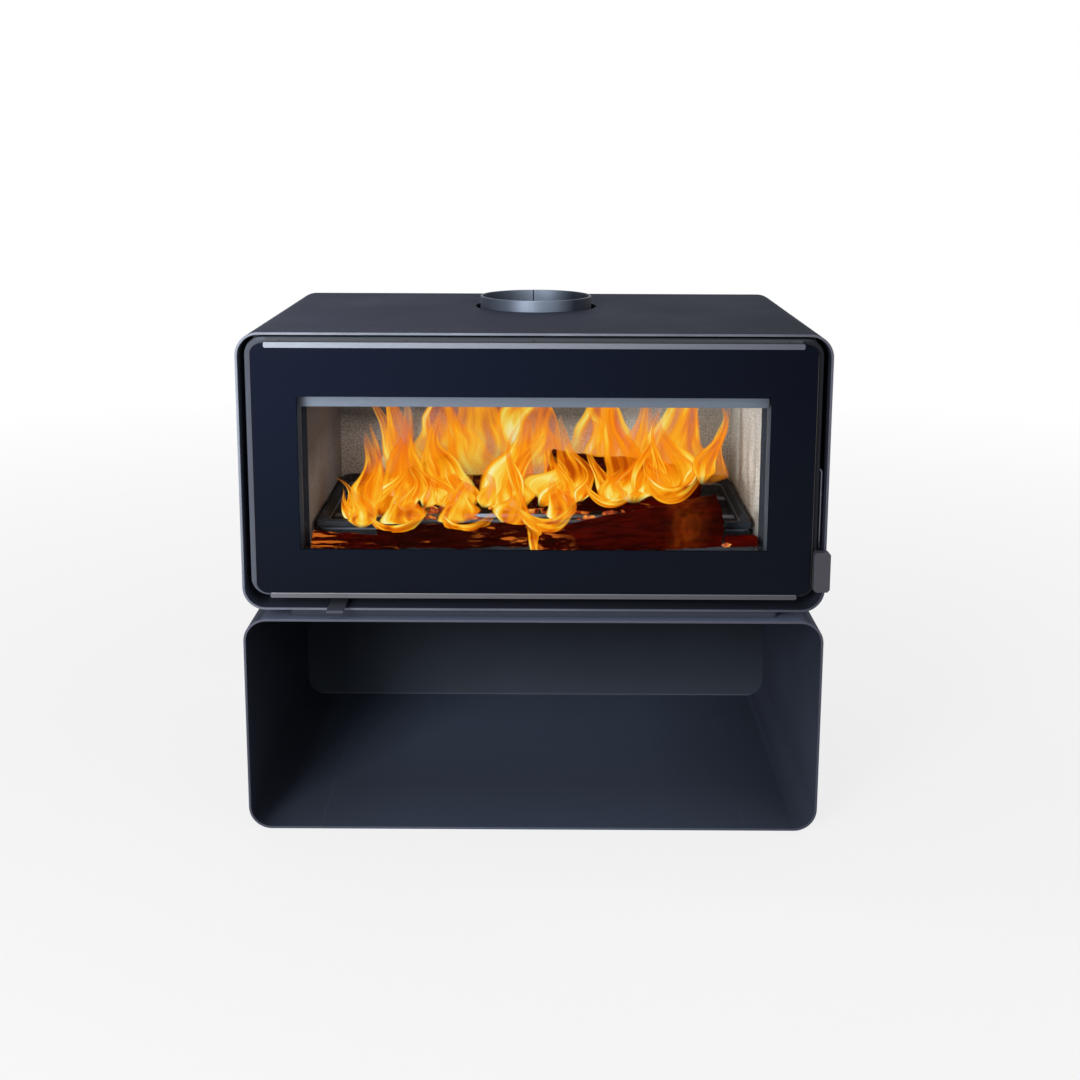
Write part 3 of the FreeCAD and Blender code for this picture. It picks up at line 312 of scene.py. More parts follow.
def cast_iron(name, colour, highlight_z):
    """Sand-cast iron: pitted, uneven and a little scaled, with a painted highlight on the ribs' tops."""
    s = Shader(name)
    sand = s.noise(260, 5, 0.65)
    scale = s.noise(14, 4, 0.6)
    base = s.blend(s.remap(scale, 0.35, 0.65), tuple(0.72 * c for c in colour), tuple(1.25 * c for c in colour))
    # Painted highlight along the ribs' tops.
    painted_highlight = s.remap(s.maths("ABSOLUTE", s.maths("SUBTRACT", s.axis("Z"), highlight_z)), 0.5 * MM, 1.5 * MM, 0.85, 0.0)
    base = s.blend(painted_highlight, base, tuple(6 * c for c in colour))
    pits = s.remap(s.cells(150), 0.05, 0.3)
    height = s.maths("ADD", s.maths("MULTIPLY", sand, 0.7), s.maths("MULTIPLY", pits, 0.3))
    shader = s.principled(base_color=base, roughness=s.remap(sand, 0.3, 0.7, 0.5, 0.72), specular_ior_level=0.1)
    s.put(shader.inputs["Normal"], s.bump(height, 0.35, 0.0006))
    return s.surface(shader.outputs[0])


def lining_board(name, colour):
    """Pressed refractory board with dark and pale flakes, darker towards its top, sooted and in a painted shadow,
    least on the right board, with a painted tint of light across it and a painted shade over the left board.
    """
    s = Shader(name)
    flakes = s.cells(520)
    speckle = s.remap(s.noise(380, 4, 0.75), 0.38, 0.62)
    base = s.blend(speckle, tuple(0.5 * c for c in colour), tuple(min(1, 1.3 * c) for c in colour))
    base = s.blend(s.remap(flakes, 0.1, 0.34, 0.45, 0.0), base, (0.72, 0.68, 0.6))
    # Darker towards the top: sooted, and a painted shadow, least on the right board.
    soot_and_shadow_noise = s.maths("MULTIPLY", s.noise(9, 4, 0.6), 0.06)
    height = s.maths("ADD", s.axis("Z"), soot_and_shadow_noise)
    away = s.remap(s.axis("X"), 0.1, LINER_SIDE_LOW, 1.0, 0.3)
    soot_and_shadow = s.maths("MULTIPLY", s.remap(height, *LINER_TOP_DARK, 0.0, 0.8), away)
    base = s.blend(soot_and_shadow, base, (0.05, 0.046, 0.043))
    side_board = s.remap(s.maths("ABSOLUTE", s.axis("X")), LINER_SIDE_LOW - MM, LINER_SIDE_LOW)
    trim = s.maths("MULTIPLY", s.remap(s.axis("Y"), LINER_FRONT + 0.8 * MM, LINER_FRONT + 0.3 * MM), side_board)
    # Painted tint of light: brighter and cooler to the left, warmer to the right.
    base = s.blend(1.0, base, across(s, (1.2, 1.32, 1.42), (1.12, 1.12, 1.06), LINER_SIDE_LOW), "MULTIPLY")
    # Painted shade over the left board.
    left_board_shade = s.remap(s.axis("X"), -LINER_SIDE_LOW + 0.2 * MM, -LINER_SIDE_LOW + 0.5 * MM, 0.75, 0.0)
    base = s.blend(left_board_shade, base, (0.15, 0.135, 0.135))
    base = s.blend(trim, base, (0.055, 0.062, 0.08))
    shader = s.principled(base_color=base, roughness=0.92, specular_ior_level=0.1)
    s.put(shader.inputs["Normal"], s.bump(speckle, 0.25, 0.0005))
    return s.surface(shader.outputs[0])


def knitted_rope(name):
    """Charcoal glass-fibre rope with a knitted surface."""
    s = Shader(name)
    rows = s.add("ShaderNodeTexWave", wave_type="BANDS", bands_direction="DIAGONAL")
    s.put(rows.inputs["Vector"], s.coord)
    rows.inputs["Scale"].default_value = 130
    rows.inputs["Distortion"].default_value = 1.5
    strands = s.cells(520)
    base = s.blend(rows.outputs["Fac"], (0.02, 0.02, 0.021), (0.09, 0.09, 0.094))
    shader = s.principled(base_color=base, roughness=0.95, specular_ior_level=0.1)
    height = s.maths("ADD", rows.outputs["Fac"], s.maths("MULTIPLY", strands, 0.4))
    s.put(shader.inputs["Normal"], s.bump(height, 0.7, 0.0012))
    return s.surface(shader.outputs[0])


def door_glass_material(name):
    """Ceramic glass: clear in the window, with a printed black border that carries a painted reflection, and a ground
    edge.
    """
    s = Shader(name)
    x = s.maths("ABSOLUTE", s.axis("X"))
    z = s.axis("Z")
    soft = 0.3 * MM
    mid_z = (WINDOW_LOW.z + WINDOW_HIGH.z) / 2
    half_z = (WINDOW_HIGH.z - WINDOW_LOW.z) / 2
    side = s.remap(x, WINDOW_HIGH.x - soft, WINDOW_HIGH.x)
    level = s.remap(s.maths("ABSOLUTE", s.maths("SUBTRACT", z, mid_z)), half_z - soft, half_z)
    border = s.maths("MAXIMUM", side, level)
    haze = s.noise(2.2, 3, 0.5)
    # Painted reflection on the printed border: paler to the left and at the top, darker to the right and lower down.
    print_and_reflection = across(s, (0.0092, 0.0139, 0.031), (0.0024, 0.0038, 0.0095))
    print_and_reflection = s.blend(s.remap(z, WINDOW_LOW.z - 0.05, WINDOW_HIGH.z, 0.75, 0.0), print_and_reflection, (0.005, 0.0068, 0.011))
    print_and_reflection = s.blend(s.remap(haze, 0.35, 0.65, 0.0, 0.25), print_and_reflection, (0.008, 0.0095, 0.014))
    dust = s.remap(s.cells(46), 0.008, 0.022, 0.5, 0.0)
    print_and_reflection = s.blend(dust, print_and_reflection, (0.06, 0.07, 0.1))
    edge = s.remap(x, GLASS_HIGH.x - 0.6 * MM, GLASS_HIGH.x - 0.2 * MM)
    print_and_reflection = s.blend(edge, print_and_reflection, (0.16, 0.15, 0.14))
    black = s.principled(base_color=print_and_reflection, roughness=0.07, specular_ior_level=0.03)
    clear = s.add("ShaderNodeBsdfTransparent")
    clear.inputs["Color"].default_value = (0.97, 0.975, 0.97, 1)
    gloss = s.add("ShaderNodeBsdfGlossy")
    gloss.inputs["Roughness"].default_value = 0.03
    fresnel = s.add("ShaderNodeFresnel")
    fresnel.inputs["IOR"].default_value = 1.06
    pane = s.mix_shader(fresnel.outputs[0], clear.outputs[0], gloss.outputs[0])
    return s.surface(s.mix_shader(border, pane, black.outputs[0]))


def drawn_lines(s):
    """Fine lines from side to side, as on rolled sheet."""
    return s.noise(60, 4, 0.7, s.scaled(1, 60, 60))


def clip_steel(name, left, right, shelf, front_y, bright_z):
    """A glass clip: a front lip with painted light, bright to the left and dark to the right, a painted highlight
    along one line, and a dull shelf behind it.
    """
    s = Shader(name)
    lines = drawn_lines(s)
    # Painted light: the lip is bright to the left and dark to the right.
    base = across(s, left, right)
    # Painted highlight along one line at the height bright_z.
    line = s.remap(s.maths("ABSOLUTE", s.maths("SUBTRACT", s.axis("Z"), bright_z)), 0.3 * MM, 0.9 * MM, 0.6, 0.0)
    base = s.blend(line, base, across(s, (0.6, 0.64, 0.70), (0.2, 0.2, 0.24)))
    base = s.blend(s.remap(s.axis("Y"), front_y + 1.0 * MM, front_y + 1.5 * MM), base, shelf)
    base = s.blend(s.remap(lines, 0.3, 0.7, 0.0, 0.2), base, shelf)
    shader = s.principled(base_color=base, roughness=s.remap(lines, 0.3, 0.7, 0.4, 0.52), metallic=0.35,
                          specular_ior_level=0.3)
    s.put(shader.inputs["Normal"], s.bump(lines, 0.1, 0.0003))
    return s.surface(shader.outputs[0])


def spigot_steel(name):
    """The rolled collar: blued steel with a painted sheen round it, bright left of the front and dark to the right,
    and a welded seam at the back.
    """
    s = Shader(name)
    x = s.axis("X")
    # Painted sheen: bright a little left of the middle, dark to the right.
    sheen = s.ramp(s.remap(x, SPIGOT_LOW.x, SPIGOT_HIGH.x), (0.15, (0.055, 0.068, 0.10)), (0.30, (0.13, 0.16, 0.22)),
                   (0.48, (0.36, 0.43, 0.56)), (0.62, (0.23, 0.28, 0.37)), (0.78, (0.025, 0.032, 0.05)),
                   (1.0, (0.012, 0.015, 0.024)))
    grain = s.noise(380, 2, 0.6)
    base = s.blend(s.remap(s.noise(30, 3, 0.5), 0.3, 0.7, 0.0, 0.2), sheen, (0.1, 0.12, 0.16))
    seam_x = s.remap(s.maths("ABSOLUTE", s.maths("ADD", x, 4 * MM)), 0.4 * MM, 1.2 * MM, 1.0, 0.0)
    seam = s.maths("MULTIPLY", seam_x, s.remap(s.axis("Y"), SPIGOT_HIGH.y - 30 * MM, SPIGOT_HIGH.y - 28 * MM))
    base = s.blend(seam, base, (0.012, 0.013, 0.018))
    shader = s.principled(base_color=base, roughness=0.42, metallic=0.3, specular_ior_level=0.2)
    s.put(shader.inputs["Normal"], s.bump(grain, 0.12, 0.0004))
    return s.surface(shader.outputs[0])


def wash_steel(name, colour, line_z):
    """The air-wash strip behind the top of the window: brushed, with a painted highlight along its fold, brighter to
    the left.
    """
    s = Shader(name)
    lines = drawn_lines(s)
    base = s.blend(s.remap(lines, 0.3, 0.7, 0.0, 0.3), colour, tuple(0.6 * c for c in colour))
    # Painted highlight along the fold, brighter to the left.
    line = s.remap(s.maths("ABSOLUTE", s.maths("SUBTRACT", s.axis("Z"), line_z)), 0.5 * MM, 1.5 * MM, 1.0, 0.0)
    base = s.blend(line, base, across(s, (0.9, 0.94, 0.97), (0.45, 0.48, 0.54)))
    shader = s.principled(base_color=base, roughness=s.remap(lines, 0.3, 0.7, 0.38, 0.5), metallic=0.5,
                          specular_ior_level=0.3)
    s.put(shader.inputs["Normal"], s.bump(lines, 0.1, 0.0003))
    return s.surface(shader.outputs[0])


def store_panel(name):
    """The log store's back plate: a painted shade, dark above and paler towards its foot, with a painted highlight
    along its lower edge.
    """
    s = Shader(name)
    z = s.axis("Z")
    height = s.maths("ADD", z, s.maths("MULTIPLY", s.noise(6, 3, 0.5), 0.04))
    # Painted shade: darkest at the top, paler towards the foot.
    base = s.ramp(s.remap(height, 0.0, 0.30), (0.0, (0.062, 0.077, 0.104)), (0.45, (0.022, 0.027, 0.037)),
                  (0.9, (0.005, 0.006, 0.007)))
    # Painted highlight along the lower edge.
    painted_highlight = s.remap(z, BASE_LOW.z + 4.2 * MM, BASE_LOW.z + 6.0 * MM, 0.8, 0.0)
    base = s.blend(painted_highlight, base, (0.12, 0.14, 0.18))
    shader = s.principled(base_color=base, roughness=0.62, specular_ior_level=0.05, normal=orange_peel(s))
    return s.surface(shader.outputs[0])


def door_paint(name):
    """The door frame's paint, with painted light bright to the left and on top, and painted shade dark towards the
    lever on the right.
    """
    s = Shader(name)
    patches = s.noise(3, 4, 0.55)
    # Painted light and shade: bright to the left, dark to the right.
    base = across(s, (0.115, 0.13, 0.17), (0.012, 0.013, 0.017), 0.34)
    # Painted light on the frame's top.
    top = s.remap(s.axis("Z"), DOOR_HIGH.z - 4 * MM, DOOR_HIGH.z - 1.5 * MM)
    base = s.blend(top, base, across(s, (0.17, 0.20, 0.25), (0.035, 0.045, 0.06), 0.34))
    base = s.blend(s.remap(patches, 0.3, 0.7, 0.0, 0.25), base, (0.03, 0.033, 0.04))
    shader = s.principled(base_color=base, roughness=0.5, specular_ior_level=0.08, normal=orange_peel(s))
    return s.surface(shader.outputs[0])


def assign(material, *nodes):
    """Give CAD nodes one material."""
    for node in nodes:
        mesh = NODES[node].data
        mesh.materials.clear()
        mesh.materials.append(material)


def dress_nodes():
    """Give every CAD node its finish."""
    # The lip tuples paint highlights on the casings' cut front edges, right=0.5 paints shade towards the casing's right
    # side, and the base casing's top face gets painted light.
    assign(painted_steel("casing_paint", (0.056, 0.065, 0.098), 0.66, 0.02, right=0.5,
                         lip=(CASING_LOW.y, (0.40, 0.44, 0.53), (0.12, 0.125, 0.16), 0.30, 0.50)), "outer_casing")
    assign(painted_steel("base_paint", (0.05, 0.06, 0.09), 0.66, 0.03, top_light_z=BASE_HIGH.z, store=True,
                         lip=(BASE_LOW.y, (0.13, 0.14, 0.18), (0.085, 0.085, 0.11), 0.10, 0.26)), "base_casing")
    assign(painted_steel("panel_paint", (0.03, 0.034, 0.046), 0.62, 0.05), "casing_back_panel")
    assign(store_panel("store_panel"), "base_back_panel")
    assign(spigot_steel("spigot_steel"), "flue_spigot")
    assign(painted_steel("spacer_paint", (0.04, 0.047, 0.068), 0.6, 0.15), "base_spacer")
    assign(painted_steel("slide_paint", (0.065, 0.072, 0.095), 0.5, 0.2), "air_slide")
    assign(door_paint("door_paint"), "door_frame")
    inner = painted_steel("firebox_paint", (0.022, 0.023, 0.027), 0.6, 0.3)
    assign(inner, "firebox_floor", "firebox_side_right", "firebox_side_left", "firebox_back", "firebox_top",
           "firebox_feet", "baffle_supports", "air_wash_ducts", "rear_air_duct", "air_box", "slide_runners",
           "casing_tabs", "rope_channel", "hinge_lugs", "hinge_blocks", "latch_housing", "latch_catch",
           "glass_clip_screws")
    assign(painted_steel("front_paint", (0.11, 0.125, 0.155), 0.42, 0.5), "firebox_front", "front_ledge")
    assign(wash_steel("wash_steel", (0.16, 0.19, 0.25), WINDOW_HIGH.z - 2.5 * MM), "air_wash_channel")
    assign(clip_steel("clip_steel_top", (0.33, 0.37, 0.44), (0.09, 0.095, 0.125), (0.05, 0.055, 0.065),
                      CLIP_TOP_LOW.y, CLIP_TOP_HIGH.z - 2 * MM), "glass_clip_top")
    assign(clip_steel("clip_steel_bottom", (0.14, 0.14, 0.165), (0.06, 0.058, 0.068), (0.04, 0.045, 0.055),
                      CLIP_BOTTOM_LOW.y, CLIP_BOTTOM_HIGH.z), "glass_clip_bottom")
    fixings = brushed_steel("fixing_steel", (0.5, 0.5, 0.5), 0.38)
    assign(fixings, "base_bolts", "base_nuts", "casing_panel_screws", "spigot_screws", "hinge_pins",
           "catch_screws", "latch_nut")
    assign(brushed_steel("rod_steel", (0.2, 0.22, 0.28), 0.36), "handle_rod", "latch_hook")
    assign(cast_iron("tray_iron", (0.034, 0.042, 0.056), TRAY_RIB_TOP), "firebed_tray")
    assign(lining_board("board", (0.56, 0.56, 0.56)), "liner_right", "liner_left", "liner_back",
           "floor_bricks", "baffle_plate")
    assign(knitted_rope("rope"), "door_rope_seal", "glass_tape")
    assign(door_glass_material("door_glass"), "door_glass")
    assign(painted_steel("knob_coat", (0.046, 0.045, 0.058), 0.55, 0.3), "handle_knob")


# Fire: logs, coals and flames inside the firebox, for the looks only

LEDGE_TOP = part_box("front_ledge")[1].z
RIM_TOP = TRAY_HIGH.z
RIM_WIDTH = 12 * MM
GLASS_CLEAR = 6 * MM
OPENING_SILL = FRONT_HIGH.z - 269.5 * MM
FLAME_CEILING = 0.549
CHAR = (0.004, 0.0006, 0.0003)
SHEET_COLUMNS = 14
TONGUE_ROWS = 64
SWAG_ROWS = 40


def smooth_outline(points, count):
    """A closed outline through a few points, rounded, as evenly spread points."""
    n = len(points)
    dense = []
    for i in range(n):
        a, b, c, d = (Vector(points[(i + k - 1) % n]) for k in range(4))
        for step in range(24):
            t = step / 24
            dense.append(0.5 * ((2 * b) + (c - a) * t + (2 * a - 5 * b + 4 * c - d) * t * t
                                + (3 * b - a - 3 * c + d) * t ** 3))
    lengths = [0.0]
    for i in range(len(dense)):
        lengths.append(lengths[-1] + (dense[(i + 1) % len(dense)] - dense[i]).length)
    out = []
    for k in range(count):
        want = lengths[-1] * k / count
        i = max(j for j in range(len(dense)) if lengths[j] <= want)
        span = max(lengths[i + 1] - lengths[i], 1e-9)
        out.append(dense[i].lerp(dense[(i + 1) % len(dense)], (want - lengths[i]) / span))
    return out


def settle(point):
    """Keep a point of the fire clear of the tray, its rim, the ledge and the glass."""
    clear = 0.6 * MM
    x, y, z = point
    y = max(y, GLASS_HIGH.y + GLASS_CLEAR)
    rim_front = TRAY_LOW.y - clear
    rim_back = TRAY_LOW.y + RIM_WIDTH
    if z < RIM_TOP + clear and rim_front < y < rim_back:
        if y < TRAY_LOW.y + RIM_WIDTH / 4:
            y = rim_front
        else:
            z = RIM_TOP + clear
    ledge_front = FRONT_HIGH.y
    if y <= rim_front:
        z = max(z, (LEDGE_TOP if y > ledge_front - clear else OPENING_SILL) + clear)
    elif z < RIM_TOP:
        z = max(z, TRAY_FLOOR + clear)
    return Vector((x, y, z))


def make_log(name, start, end, outline_start, outline_end, material, seed, rings=110, around=84):
    """A split log: a lofted body with bark ridges, grain and two rough ends."""
    start, end = Vector(start), Vector(end)
    axis = (end - start).normalized()
    side = Vector((0, 0, 1)).cross(axis).normalized()
    up = axis.cross(side).normalized()
    section_a = smooth_outline(outline_start, around)
    section_b = smooth_outline(outline_end, around)
    shift = Vector((seed * 3.1, seed * 1.7, seed * 2.3))
    bm = bmesh.new()
    loops = []
    for ring in range(rings + 1):
        t = ring / rings
        swell = 1 + 0.06 * noise.noise(Vector((t * 3 + seed, seed, 0)))
        centre = start.lerp(end, t)
        loop = []
        for k in range(around):
            flat = section_a[k].lerp(section_b[k], t) * swell
            place = centre + side * flat.x + up * flat.y
            out = (side * flat.x + up * flat.y).normalized()
            ridge = noise.noise(Vector((t * 9, k * 0.55, seed)) + shift)
            grain = noise.noise(Vector((t * 26, k * 1.9, seed)) + shift)
            lump = noise.noise(place * 42 + shift)
            place += out * (1.5 * ridge + 0.55 * grain + 2.1 * lump) * MM
            place += axis * noise.noise(place * 120 + shift) * (2.6 * MM if ring in (0, rings) else 0)
            loop.append(bm.verts.new(settle(place)))
        loops.append(loop)
    for a, b in zip(loops, loops[1:]):
        for k in range(around):
            bm.faces.new((a[k], a[(k + 1) % around], b[(k + 1) % around], b[k]))
    for loop, way in ((loops[0], -1), (loops[-1], 1)):
        centre = sum((v.co for v in loop), Vector()) / around
        inner = loop
        for share in (0.75, 0.5, 0.25):
            ring = []
            for v in loop:
                place = centre.lerp(v.co, share)
                crack = noise.noise(Vector((place.x * 30, place.y * 90, place.z * 240)) + shift)
                ring.append(bm.verts.new(place + axis * way * (1.2 + 2.2 * crack) * MM))
            for k in range(around):
                quad = (inner[k], inner[(k + 1) % around], ring[(k + 1) % around], ring[k])
                bm.faces.new(quad if way < 0 else quad[::-1])
            inner = ring
        tip = bm.verts.new(centre + axis * way * 1.5 * MM)
        for k in range(around):
            triangle = (inner[k], inner[(k + 1) % around], tip)
            bm.faces.new(triangle if way < 0 else triangle[::-1])
    bmesh.ops.recalc_face_normals(bm, faces=bm.faces)
    return add_mesh(name, bm, material)


def add_mesh(name, bm, material):
    """A smooth piece that rides on the stove."""
    mesh = bpy.data.meshes.new(name)
    bm.to_mesh(mesh)
    bm.free()
    mesh.polygons.foreach_set("use_smooth", [True] * len(mesh.polygons))
    mesh.materials.append(material)
    piece = bpy.data.objects.new(name, mesh)
    bpy.context.scene.collection.objects.link(piece)
    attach(piece, "stove")
    return piece


def burning_wood(name, grain_axis, ember, glow_x=None, long=1.0, red=0.065):
    """Charred wood: near black, dark red inside, with short glowing dashes along its grain.

    grain_axis is how fine the grain is along each axis. The higher ember, the more dashes there are. glow_x is where
    along the stove a soft orange glow lies across the log. long stretches the dashes into streaks. red is how
    strongly the wood glows dark red.
    """
    s = Shader(name)
    grain = s.noise(9, 5, 0.65, s.scaled(*grain_axis))
    fibres = s.noise(26, 3, 0.6, s.scaled(*grain_axis))
    char = s.noise(14, 4, 0.6, s.scaled(0.6, 1, 1.6))
    base = s.blend(s.remap(grain, 0.35, 0.65), tuple(0.4 * c for c in CHAR), tuple(2.2 * c for c in CHAR))
    deep = s.blend(s.remap(char, 0.40, 0.60), (0.006, 0.0003, 0.0001), (red, 0.0010, 0.0003))
    deep = s.blend(s.remap(fibres, 0.48, 0.68, 0.0, 0.75), deep, (2 * red, 0.004, 0.0006))
    lines = s.noise(9, 3, 0.6, s.scaled(2, 24, 24))
    deep = s.blend(s.remap(lines, 0.44, 0.58, 0.7, 0.0), deep, (0.004, 0.0002, 0.0001))
    if glow_x is not None:
        wander = s.maths("MULTIPLY", s.maths("SUBTRACT", s.noise(25, 3, 0.5), 0.5), 0.03)
        near = s.maths("ABSOLUTE", s.maths("SUBTRACT", s.maths("ADD", s.axis("X"), wander), glow_x))
        streaks = s.remap(s.noise(40, 2, 0.5, s.scaled(3, 3, 0.3)), 0.35, 0.65, 0.2, 1.0)
        near = s.maths("MULTIPLY", s.remap(near, 0.0, 0.028, 0.3, 0.0), streaks)
        deep = s.blend(near, deep, (0.50, 0.075, 0.004))
    dashes = s.noise(60, 2, 0.5, s.scaled(0.55 / long, 2.2, 2.6))
    patch = s.remap(s.noise(12, 3, 0.6), 0.50, 0.62)
    hot = s.maths("MULTIPLY", s.remap(dashes, 0.64 - ember, 0.70 - ember), 1.0 if long > 1 else patch)
    lit = s.blend(hot, deep, (0.55, 0.12, 0.012))
    height = s.maths("ADD", s.maths("MULTIPLY", grain, 0.6), s.maths("MULTIPLY", fibres, 0.4))
    shader = s.principled(base_color=base, roughness=0.9, specular_ior_level=0.0, emission_color=lit,
                          emission_strength=1.0, normal=s.bump(height, 0.6, 0.0015))
    s.mat.cycles.emission_sampling = "NONE"
    return s.surface(shader.outputs[0])


def glowing_coal(name):
    """A coal: grey ash with orange and yellow cracks."""
    s = Shader(name)
    heat = s.noise(70, 4, 0.6)
    base = s.blend(s.remap(heat, 0.3, 0.7), (0.012, 0.01, 0.01), (0.09, 0.08, 0.075))
    lit = s.ramp(heat, (0.40, (0.01, 0.0008, 0.0001)), (0.52, (0.45, 0.05, 0.004)), (0.66, (1.0, 0.42, 0.06)))
    shader = s.principled(base_color=base, roughness=0.95, specular_ior_level=0.1, emission_color=lit,
                          emission_strength=1.0, normal=s.bump(heat, 0.7, 0.0012))
    s.mat.cycles.emission_sampling = "NONE"
    return s.surface(shader.outputs[0])


def make_coals(name, count, low, high, radii, material, seed):
    """Loose coals, each a small uneven lump, scattered over an area. The third number of low is the floor's height."""
    rng = random.Random(seed)
    bm = bmesh.new()
    for i in range(count):
        place = Vector((rng.uniform(low[0], high[0]), rng.uniform(low[1], high[1]), 0))
        radius = rng.uniform(*radii)
        turn = Matrix.Rotation(rng.uniform(0, math.tau), 4, "Z")
        stretch = Matrix.Diagonal((rng.uniform(0.9, 1.5), rng.uniform(0.7, 1.1), rng.uniform(0.55, 0.8), 1))
        lump = bmesh.ops.create_icosphere(bm, subdivisions=3, radius=radius)["verts"]
        for v in lump:
            out = v.co.normalized()
            v.co += out * radius * 0.5 * noise.noise(out * 1.7 + Vector((i * 3.3, 0, 0)))
            v.co = turn @ stretch @ v.co
        bottom = min(v.co.z for v in lump)
        for v in lump:
            v.co += place + Vector((0, 0, low[2] - bottom))
            v.co = settle(v.co)
    return add_mesh(name, bm, material)


def flame_material(name, thin=0.0):
    """A flame sheet: soft vertical streaks, one bright rim, and edges and a tip that let the back through."""
    s = Shader(name)
    uv = s.add("ShaderNodeUVMap", uv_map="flame").outputs[0]
    u = s.maths("FRACT", s.axis("X", uv))
    v = s.maths("FRACT", s.axis("Y", uv))
    streak = s.noise(1.0, 1.6, 0.45, s.scaled(2.6, 1.7, 1, uv), 0.9)
    fine = s.noise(1.0, 2.0, 0.5, s.scaled(9.0, 2.4, 1, uv), 1.2)
    left = s.remap(s.maths("ABSOLUTE", s.maths("SUBTRACT", u, 0.13)), 0.0, 0.12, 1.0, 0.0)
    right = s.remap(s.maths("ABSOLUTE", s.maths("SUBTRACT", u, 0.90)), 0.0, 0.07, 1.0, 0.0)
    rim = s.maths("ADD", s.maths("MULTIPLY", left, 0.22), s.maths("MULTIPLY", right, 0.12))
    warm = s.maths("ADD", s.remap(streak, 0.25, 0.75, 0.0, 0.85), s.remap(fine, 0.3, 0.7, -0.08, 0.08))
    heat = s.maths("ADD", warm, rim)
    heat = s.maths("ADD", heat, s.remap(v, 0.0, 0.55, 0.16, -0.08))
    colour = s.ramp(heat, (0.10, (0.86, 0.12, 0.001)), (0.30, (1.0, 0.23, 0.002)), (0.50, (1.0, 0.35, 0.006)),
                    (0.66, (1.0, 0.53, 0.03)), (0.80, (1.0, 0.74, 0.12)), (0.95, (1.0, 0.90, 0.40)))
    side = s.maths("ABSOLUTE", s.maths("SUBTRACT", s.maths("MULTIPLY", u, 2), 1))
    edge = s.remap(side, 0.90, 1.0, 1.0, 0.0)
    tip = s.remap(v, 0.55, 1.0, 1.0, 0.15)
    foot = s.remap(v, 0.0, 0.12 + thin, 0.0, 1.0)
    body = s.remap(heat, 0.10, 0.55, 0.55 - thin, 1.0 - 0.5 * thin)
    alpha = s.maths("MULTIPLY", s.maths("MULTIPLY", edge, tip), s.maths("MULTIPLY", foot, body))
    glow = s.add("ShaderNodeEmission")
    s.put(glow.inputs["Color"], colour)
    glow.inputs["Strength"].default_value = 1.0
    clear = s.add("ShaderNodeBsdfTransparent")
    s.mat.cycles.emission_sampling = "NONE"
    return s.surface(s.mix_shader(alpha, clear.outputs[0], glow.outputs[0]))


def add_sheet(bm, uv_layer, spine, widths, index, fold=0.0):
    """A ribbon of fire along a spine of points. Its UV holds a number of its own, so no two look alike."""
    rows = len(spine) - 1
    grid = []
    for row, here in enumerate(spine):
        tangent = (spine[min(row + 1, rows)] - spine[max(row - 1, 0)]).normalized()
        side = Vector((tangent.z, 0, -tangent.x)).normalized()
        left, right = widths[row]
        line = []
        for column in range(SHEET_COLUMNS + 1):
            u = column / SHEET_COLUMNS
            offset = side * (u * (left + right) - left)
            belly = Vector((0, (left + right) * (fold * (u - 0.5) - 0.3 * math.sin(math.pi * u)), 0))
            place = here + offset + belly
            place.z = min(place.z, FLAME_CEILING)
            line.append(bm.verts.new(place))
        grid.append(line)
    for row in range(rows):
        for column in range(SHEET_COLUMNS):
            quad = (grid[row][column], grid[row][column + 1], grid[row + 1][column + 1], grid[row + 1][column])
            if len({tuple(round(c, 6) for c in v.co) for v in quad}) < 4:
                continue
            face = bm.faces.new(quad)
            for loop, (du, dv) in zip(face.loops, ((0, 0), (1, 0), (1, 1), (0, 1))):
                u = min(max((column + du) / SHEET_COLUMNS, 0.001), 0.999)
                v = min(max((row + dv) / rows, 0.001), 0.999)
                loop[uv_layer].uv = (index * 3 + u, index * 7 + v)


def tongue(x, y, z, height, width, lean, sway, rng):
    """The spine and half widths of one rising flame with its own outline on each side."""
    phase = rng.uniform(0, math.tau)
    turns = rng.uniform(0.55, 0.95)
    depth_phase = rng.uniform(0, math.tau)
    seeds = (rng.uniform(0, 50), rng.uniform(0, 50))
    bulge = rng.uniform(0.16, 0.30)
    spine, widths = [], []
    for row in range(TONGUE_ROWS + 1):
        t = row / TONGUE_ROWS
        bend = math.sin(phase + turns * math.tau * t) - math.sin(phase)
        spine.append(Vector((x + lean * t * t + sway * (0.3 + t) * bend,
                             y + 0.010 * math.sin(depth_phase + 4 * t) * t, z + height * t)))
        swell = math.exp(-((t - bulge) / 0.22) ** 2)
        shape = (0.10 + 0.50 * min(1.0, t / 0.15) + 0.48 * swell) * (1 - t ** 1.8) ** 0.9
        pair = []
        for seed in seeds:
            ripple = 1 + 0.7 * noise.noise(Vector((t * 3.2 * (height / 0.12), seed, 0)))
            pair.append(max(0.5 * width * shape * ripple, 0.0002))
        widths.append(pair)
    return spine, widths


def swag(points, width, ends):
    """The spine and half widths of a bright fold of flame. The lower the power ends, the blunter its two ends."""
    a, b, c = (Vector(p) for p in points)
    spine, widths = [], []
    for row in range(SWAG_ROWS + 1):
        t = row / SWAG_ROWS
        spine.append(a * (1 - t) ** 2 + b * (2 * t * (1 - t)) + c * t * t)
        shape = math.sin(math.pi * (0.04 + 0.92 * t)) ** ends
        widths.append([0.35 * width * shape, 0.65 * width * shape])
    return spine, widths


